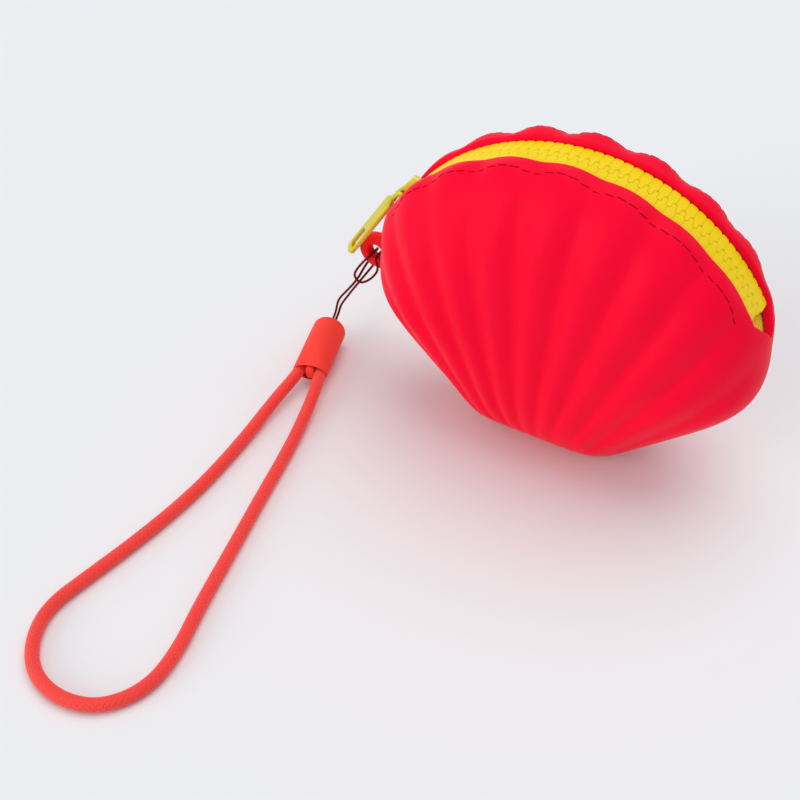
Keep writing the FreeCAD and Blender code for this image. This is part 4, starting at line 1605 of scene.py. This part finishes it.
@dataclass
class ZipPull:
    """The pull: a cross bar, two curved arms and a flat bar with an oblong hole. Millimetres and degrees."""

    wardrobe: Wardrobe
    pivot: Point = (-48.157, 0.0, 58.834)
    lean: float = 32.8
    roll: float = 41.0
    offset: float = -1.5
    length: float = 30.2
    neck: float = 4.2
    width: float = 3.6
    thickness: float = 1.4
    edge_round: float = 0.38
    edge_steps: int = 3
    end_steps: int = 13
    slot_width: float = 1.7
    slot_length: float = 8.5
    slot_margin: float = 2.2
    half: float = 2.05
    bar_radius: float = 0.6
    bar_inset: float = 0.1
    bar_rows: int = 5
    bar_sides: int = 16
    arm_width: float = 1.25
    arm_thickness: float = 0.9
    arm_round: float = 0.36
    arm_path: Outline = ((0.15, 0.25), (-0.35, 0.5), (-0.8, 0.3), (-1.05, -0.5), (-1.3, -1.7), (-1.5, -2.9),
                         (-1.4, -3.9), (-1.2, -4.7), (-1.1, -5.6))
    arm_draw: float = 0.32
    arm_straight: float = 3.4
    arm_draw_length: float = 2.2
    sharp: float = 50.0

    def loop(self, low: float, high: float, half_width: float) -> list[Point]:
        """Give a long flat outline with a round foot and a round head.

        Args:
            low: Lowest place.
            high: Highest place.
            half_width: Half the width.

        Returns:
            The outline's points.
        """
        turns = np.linspace(0, math.pi, self.end_steps)
        across, out = half_width * np.cos(turns), half_width * np.sin(turns)
        foot = [(-x, low + half_width - y, 0.0) for x, y in zip(across, out)]
        return foot + [(x, high - half_width + y, 0.0) for x, y in zip(across, out)]

    def blade(self) -> Mesh:
        """Build the flat bar with its hole, as it hangs.

        Returns:
            Its mesh.
        """
        outline = bpy.data.curves.new("pull_outline", "CURVE")
        outline.dimensions = "2D"
        outline.fill_mode = "BOTH"
        outline.extrude = (self.thickness / 2 - self.edge_round) * MM
        outline.bevel_depth = self.edge_round * MM
        outline.bevel_resolution = self.edge_steps
        outline.offset = -self.edge_round * MM
        low = self.slot_margin - self.length
        for points in (self.loop(-self.length, -self.neck, self.width / 2),
                       self.loop(low, low + self.slot_length, self.slot_width / 2)):
            add_spline(outline, "POLY", points).use_cyclic_u = True
        mesh = curve_mesh(outline)
        stand = Matrix(((0, 0, 1, 0), (1, 0, 0, 0), (0, 1, 0, 0), (0, 0, 0, 1)))
        shift = Matrix.Translation((self.offset * MM, 0, 0))
        mesh.transform(shift @ Matrix.Rotation(math.radians(self.roll), 4, "Z") @ stand)
        return mesh

    def build(self) -> list[Piece]:
        """Build, dress and place the pull.

        Returns:
            Its one piece.
        """
        parts = MeshParts()
        end = self.half - self.bar_inset
        bar = [(0, y, 0) for y in np.linspace(-end, end, self.bar_rows)]
        parts.tube(np.array(bar), disc(self.bar_radius, self.bar_sides))
        for sign in (-1, 1):
            y = self.half - self.arm_thickness / 2
            drawn = [self.arm_draw * max(0.0, (-z - self.arm_straight) / self.arm_draw_length)
                     for _, z in self.arm_path]
            path = np.array([(x, sign * (y - inward), z) for (x, z), inward in zip(self.arm_path, drawn)])
            parts.tube(path, rounded_bar(self.arm_thickness, self.arm_width, self.arm_round))
        parts.corner_uvs.clear()
        piece = parts.make("zip_pull_tab", self.sharp)
        weld(piece.data, self.blade())
        turn = Matrix.Rotation(math.radians(self.lean), 4, "Y")
        piece.data.transform(Matrix.Translation(Vector(self.pivot) * MM) @ turn)
        smooth(piece.data, self.sharp)
        return [self.wardrobe.fit(piece, "slider_paint", Body.PULL, "pull_tab")]


@dataclass
class LipStitching:
    """The two rows of stitches along the lips. Millimetres and degrees.

    The stitch's line goes by share of half its length and depth below its top.
    """

    form: ShellForm
    wardrobe: Wardrobe
    body: Piece
    offset: float = 10.3
    lip_radius: float = 57.0
    pitch: float = 3.0
    length: float = 2.75
    line: Outline = ((1.0, 0.3), (0.88, 0.1), (0.5, 0.0))
    thread_radius: float = 0.12
    thread_sides: int = 6
    half_angle: float = 55.0
    count: int = 37
    sharp: float = 80.0

    def stitch(self) -> Piece:
        """Build one stitch: a short bow of thread whose ends dive into the lip.

        Returns:
            A helper object at the origin.
        """
        half = [(share * self.length / 2, 0.0, -down) for share, down in self.line]
        path = np.array([(-x, y, z) for x, y, z in half] + half[::-1])
        return MeshParts().tube(path, disc(self.thread_radius, self.thread_sides)).make("stitch", self.sharp)

    def build(self) -> list[Piece]:
        """Build, dress and place both rows.

        Returns:
            The two pieces.
        """
        pieces = []
        pitch = math.degrees(self.pitch / self.lip_radius)
        for side in (Side.REAR, Side.FRONT):
            row = ArcRow(self.form.top_centre_height, self.count, -self.half_angle, pitch, self.lip_radius,
                         side.value * self.offset, self.body)
            piece = row.build(f"{side.word}_lip_stitches", self.stitch(), self.wardrobe.material("thread"))
            pieces.append(self.wardrobe.fit(piece, "thread", side.body, f"{side.word}_stitching"))
        return pieces


# The strap


@dataclass(frozen=True)
class Cord:
    """One cord of the strap: its piece, its line and how it behaves. Millimetres."""

    name: str
    node: str
    slot: str
    diameter: float
    sides: int
    steps: int
    far_end: FarEnd
    stiffness: Stiffness
    lay: Lay
    route: tuple[Point, ...]
    sharp: float = 70.0

    def line(self) -> np.ndarray:
        """Give the points of the smooth spline that the route controls.

        Returns:
            Points along the spline.
        """
        curve = bpy.data.curves.new("route", "CURVE")
        curve.dimensions = "3D"
        spline = add_spline(curve, "NURBS", self.route)
        spline.order_u = 3
        spline.use_endpoint_u = True
        spline.resolution_u = self.steps
        return np.array([vertex.co for vertex in curve_mesh(curve).vertices], float) / MM

    def build(self, wardrobe: Wardrobe, held: list[Piece]) -> Piece:
        """Build, dress and place the cord.

        Args:
            wardrobe: The finishes.
            held: Pieces that hang on the cord. Not used.

        Returns:
            The piece.
        """
        line = self.line()
        piece = MeshParts().tube(line, disc(self.diameter / 2, self.sides)).make(self.name, self.sharp)
        wardrobe.fit(piece, self.slot, Body.PURSE, self.node)
        return piece


STRING = Cord(
    "strap_string_loop", "strap_string", "string", diameter=0.7, sides=10, steps=10, far_end=FarEnd.KNOT,
    stiffness=Stiffness.LIMP, lay=Lay.HANGING, route=(
        (-71.43, -5.3, 5.4), (-74.0, 3.7, 5.4), (-74.2, 5.4, 8.9), (-72.2, 4.1, 12.6), (-69.0, 3.0, 17.0),
        (-65.1, 2.7, 22.7), (-63.7, 5.4, 27.1), (-61.6, 6.5, 30.6), (-59.9, 6.5, 33.8), (-59.8, 1.4, 33.8),
        (-61.9, 1.5, 31.2), (-64.6, 1.6, 27.2), (-65.6, 1.5, 24.6), (-63.6, 1.3, 22.9), (-61.2, 1.4, 24.2),
        (-58.7, 1.6, 27.0), (-57.2, 1.5, 30.2), (-58.4, 1.4, 33.4), (-58.5, 6.5, 33.4), (-59.9, 6.5, 30.0),
        (-62.0, 5.6, 26.4), (-64.2, 2.9, 22.6), (-67.4, 3.0, 17.5), (-70.4, 3.7, 12.6), (-72.9, 5.2, 8.6),
        (-73.3, 3.9, 5.0), (-70.78, -5.0, 5.1),
    ))
WRIST_CORD = Cord(
    "wrist_cord_loop", "wrist_cord", "cord_braid", diameter=3.4, sides=28, steps=14, far_end=FarEnd.OBJECT,
    stiffness=Stiffness.MEDIUM, lay=Lay.LOOSE, route=(
        (-70.73, -14.9, 5.2), (-69.23, -22.8, 5.0), (-69.93, -34.0, 3.2), (-68.93, -52.5, 1.75),
        (-68.4, -73.0, 1.75), (-70.7, -93.0, 1.75), (-73.9, -109.5, 1.75), (-76.1, -121.5, 1.75),
        (-72.9, -130.8, 1.75), (-66.2, -137.8, 1.75), (-56.3, -140.2, 1.75), (-46.6, -137.2, 1.75),
        (-40.9, -128.0, 1.75), (-41.3, -116.5, 1.75), (-44.8, -103.5, 1.75), (-48.6, -85.0, 1.75),
        (-52.7, -66.0, 1.75), (-56.2, -48.5, 1.75), (-59.43, -35.0, 2.6), (-61.53, -27.0, 4.2),
        (-63.43, -21.2, 5.0), (-65.83, -14.8, 5.2),
    ))


@dataclass
class WristStrap:
    """The wrist strap: string, knot, ferrule, plug and braided cord. Millimetres and degrees.

    The mouth's lip goes by distance beyond the mouth's radius and place along, the closed end's dish by
    distance beyond the hole's radius and depth below the end, and the plug by place along and share of size.
    """

    wardrobe: Wardrobe
    mouth: Point = (-66.33, -22.0, 5.2)
    heading: float = 16.1
    length: float = 20.5
    radius: float = 4.9
    mouth_radius: float = 5.1
    mouth_lip: Outline = ((-0.42, 0.12), (-0.22, 0.0), (-0.03, 0.12))
    bore: float = 4.1
    bore_flare: float = 0.25
    bore_flare_at: float = 3.0
    flare: float = 7.0
    flare_start: float = 0.04
    flare_rows: int = 12
    wall_start: float = 9.0
    wall_rows: int = 5
    cap: float = 2.5
    end_round: float = 1.1
    end_turn: float = 0.2
    end_rows: int = 7
    hole: float = 1.3
    dish: Outline = ((0.6, 0.02), (0.2, 0.08), (0.0, 0.3))
    squash: float = 0.46
    ferrule_sides: int = 64
    ferrule_sharp: float = 50.0
    plug_size: Point = (2.5, 4.0, 1.1)
    plug_rings: Outline = ((3.0, 0.94), (1.5, 1.0), (0.2, 1.0), (-0.25, 0.96), (-0.46, 0.8), (-0.5, 0.4))
    knot_place: float = 15.75
    knot_size: Point = (0.48, 0.48, 0.95)
    knot_thread_radius: float = 0.5
    knot_sides: int = 8
    knot_steps: int = 90
    knot_sharp: float = 70.0

    def in_sleeve(self, piece: Piece, slot: str, node: str, along: float = 0.0) -> Piece:
        """Place and dress a piece that was made along Z with the ferrule's mouth at the origin.

        Args:
            piece: The piece.
            slot: The record's slot.
            node: Node of the frame that it replaces.
            along: Distance from the mouth.

        Returns:
            The piece.
        """
        lie = Matrix.Rotation(math.radians(-90), 4, "X")
        turn = Matrix.Rotation(math.radians(self.heading), 4, "Z")
        sleeve = Matrix.Translation(Vector(self.mouth) * MM) @ turn @ lie
        piece.data.transform(sleeve @ Matrix.Translation((0, 0, along * MM)))
        return self.wardrobe.fit(piece, slot, Body.PURSE, node)

    def profile(self) -> list[tuple[float, float]]:
        """Give the ferrule's closed profile.

        Returns:
            Radius and place along of each point, from the mouth over the outside and back through the bore.
        """
        points = [(self.mouth_radius + beyond, along) for beyond, along in self.mouth_lip]
        for share in np.linspace(self.flare_start, 1, self.flare_rows):
            drawn = (self.mouth_radius - self.radius) * (1 - ease(share, 0, 1))
            points.append((self.radius + drawn, self.flare * share))
        wall = np.linspace(self.wall_start, self.length - self.end_round, self.wall_rows)
        points += [(self.radius, along) for along in wall]
        for turn in np.linspace(self.end_turn, math.pi / 2, self.end_rows):
            points.append((self.radius - self.end_round * (1 - math.cos(turn)),
                           self.length - self.end_round * (1 - math.sin(turn))))
        points += [(self.hole + beyond, self.length - down) for beyond, down in self.dish]
        inside = self.length - self.cap
        return points + [(self.hole, inside), (self.bore, inside), (self.bore, self.flare),
                         (self.bore + self.bore_flare, self.bore_flare_at)]

    def ferrule(self) -> Piece:
        """Build the moulded ferrule: a rounded closed end, and a mouth pinched flat over the cord's ends.

        Returns:
            The piece.
        """
        profile = [(radius, along, 1 - self.squash * (1 - ease(along, 0.0, self.flare)))
                   for radius, along in self.profile()]
        rings = []
        for turn in np.linspace(0, 2 * math.pi, self.ferrule_sides, endpoint=False):
            rings.append([(radius * math.cos(turn), radius * math.sin(turn) * low, along)
                          for radius, along, low in profile])
        parts = MeshParts().grid(rings + rings[:1], round_trip=True)
        piece = parts.make("strap_ferrule_sleeve", self.ferrule_sharp)
        return self.in_sleeve(piece, "ferrule_rubber", "strap_ferrule")

    def plug(self) -> Piece:
        """Build the moulded web between the cord's two ends, with a crowned face.

        Returns:
            The piece.
        """
        rings = [[(x, y, along) for x, y in rounded_bar(*(size * share for size in self.plug_size))]
                 for along, share in self.plug_rings]
        piece = MeshParts().stack(rings).make("ferrule_web_plug", self.ferrule_sharp)
        return self.in_sleeve(piece, "ferrule_rubber", "ferrule_plug")

    def knot(self) -> Piece:
        """Build the overhand knot that holds the string in the ferrule.

        Returns:
            The piece.
        """
        turns = np.linspace(0, 2 * math.pi, self.knot_steps)
        loop = np.column_stack([np.sin(turns) + 2 * np.sin(2 * turns), np.cos(turns) - 2 * np.cos(2 * turns),
                                -np.sin(3 * turns)]) * self.knot_size
        parts = MeshParts().tube(loop, disc(self.knot_thread_radius, self.knot_sides))
        piece = parts.make("string_overhand_knot", self.knot_sharp)
        return self.in_sleeve(piece, "string", "string_knot", self.knot_place)

    def build(self) -> list[Piece]:
        """Build, dress and place the strap.

        Returns:
            The pieces.
        """
        held = [self.ferrule(), self.plug(), self.knot()]
        return [STRING.build(self.wardrobe, held), WRIST_CORD.build(self.wardrobe, []), *held]


# The studio


@dataclass
class Studio:
    """Pale floor, soft light and the photo's viewpoint. Metres and degrees."""

    camera_place: Point = (0.09078, -0.24172, 0.23926)
    target: Point = (-0.04112, -0.01427, 0.0)
    lens: float = 56.25
    sensor_width: float = 36.0
    nearest: float = 0.01
    farthest: float = 20.0
    floor_half: float = 2.5
    floor_colour: Colour = srgb(237, 240, 242)
    floor_tone_share: float = 0.985
    floor_tone_scale: float = 3.0
    floor_roughness: float = 0.75
    floor_shine: float = 0.2
    sky_colour: Colour = srgb(250, 251, 253)
    sky_level: float = 0.56
    seen_sky_level: float = 0.88
    lamps: tuple[tuple[str, float, float, Point], ...] = (
        ("soft_key", 1.15, 55.0, (0.06, 0.26, 0.95)),
        ("front_fill", 1.35, 50.0, (-0.5, -0.85, 0.22)),
    )

    def floor(self) -> None:
        """Lay the floor."""
        half = self.floor_half
        mesh = bpy.data.meshes.new("pale_floor")
        corners = [(-half, -half, 0), (half, -half, 0), (half, half, 0), (-half, half, 0)]
        mesh.from_pydata(corners, [], [(0, 1, 2, 3)])
        tree = ShaderTree("pale_floor")
        where = tree.place(Coordinates.OBJECT)
        tree.tone(where, self.floor_colour, self.floor_tone_share, self.floor_tone_scale)
        tree.shade(roughness=self.floor_roughness, specular_ior_level=self.floor_shine)
        mesh.materials.append(tree.material)
        put("pale_floor", mesh)

    def light(self) -> None:
        """Set an even sky, brighter where it is seen, a soft key from behind and a fill from the front."""
        world = bpy.data.worlds.new("soft_sky")
        world.use_nodes = True
        tree = NodeTree(world.node_tree)
        path = tree.node("ShaderNodeLightPath")
        seen = path.outputs["Is Camera Ray"]
        for ray in ("Is Glossy Ray", "Is Transmission Ray"):
            seen = tree.sum("MAXIMUM", seen, path.outputs[ray])
        level = tree.range(seen, self.sky_level, self.seen_sky_level)
        sky = tree.node("ShaderNodeBackground", Color=self.sky_colour, Strength=level)
        tree.node("ShaderNodeOutputWorld", Surface=sky.outputs["Background"])
        bpy.context.scene.world = world
        for name, energy, spread, place in self.lamps:
            lamp = bpy.data.lights.new(name, "SUN")
            lamp.energy = energy
            lamp.angle = math.radians(spread)
            holder = put(name, lamp)
            holder.rotation_mode = "QUATERNION"
            holder.rotation_quaternion = Vector(place).to_track_quat("Z", "Y")

    def camera(self) -> None:
        """Set the camera where the photo was taken from."""
        lens = bpy.data.cameras.new("photo_view")
        lens.lens = self.lens
        lens.sensor_width = self.sensor_width
        lens.clip_start = self.nearest
        lens.clip_end = self.farthest
        view = put("photo_view", lens)
        view.location = self.camera_place
        view.rotation_mode = "QUATERNION"
        view.rotation_quaternion = (Vector(self.target) - Vector(self.camera_place)).to_track_quat("-Z", "Y")
        bpy.context.scene.camera = view

    def build(self) -> None:
        """Set up floor, light and camera."""
        bpy.context.scene.view_settings.view_transform = "Standard"
        self.floor()
        self.light()
        self.camera()


def main() -> None:
    """Build the studio and each sub-assembly in order, and report the pieces."""
    logging.basicConfig(level=logging.INFO, format="%(name)s: %(message)s")
    form = ShellForm()
    wardrobe = Wardrobe()
    Studio().build()
    body = SiliconeBody(form, wardrobe)
    shell = body.mesh_with_ribs()
    for assembly in (LipStitching(form, wardrobe, shell), body, StrapLug(form, wardrobe), Zip(form, wardrobe),
                     ZipPull(wardrobe), WristStrap(wardrobe)):
        for piece in assembly.build():
            LOG.info("%s: %s has %d faces", type(assembly).__name__, piece.name, len(piece.data.polygons))


if __name__ == "__main__":
    main()
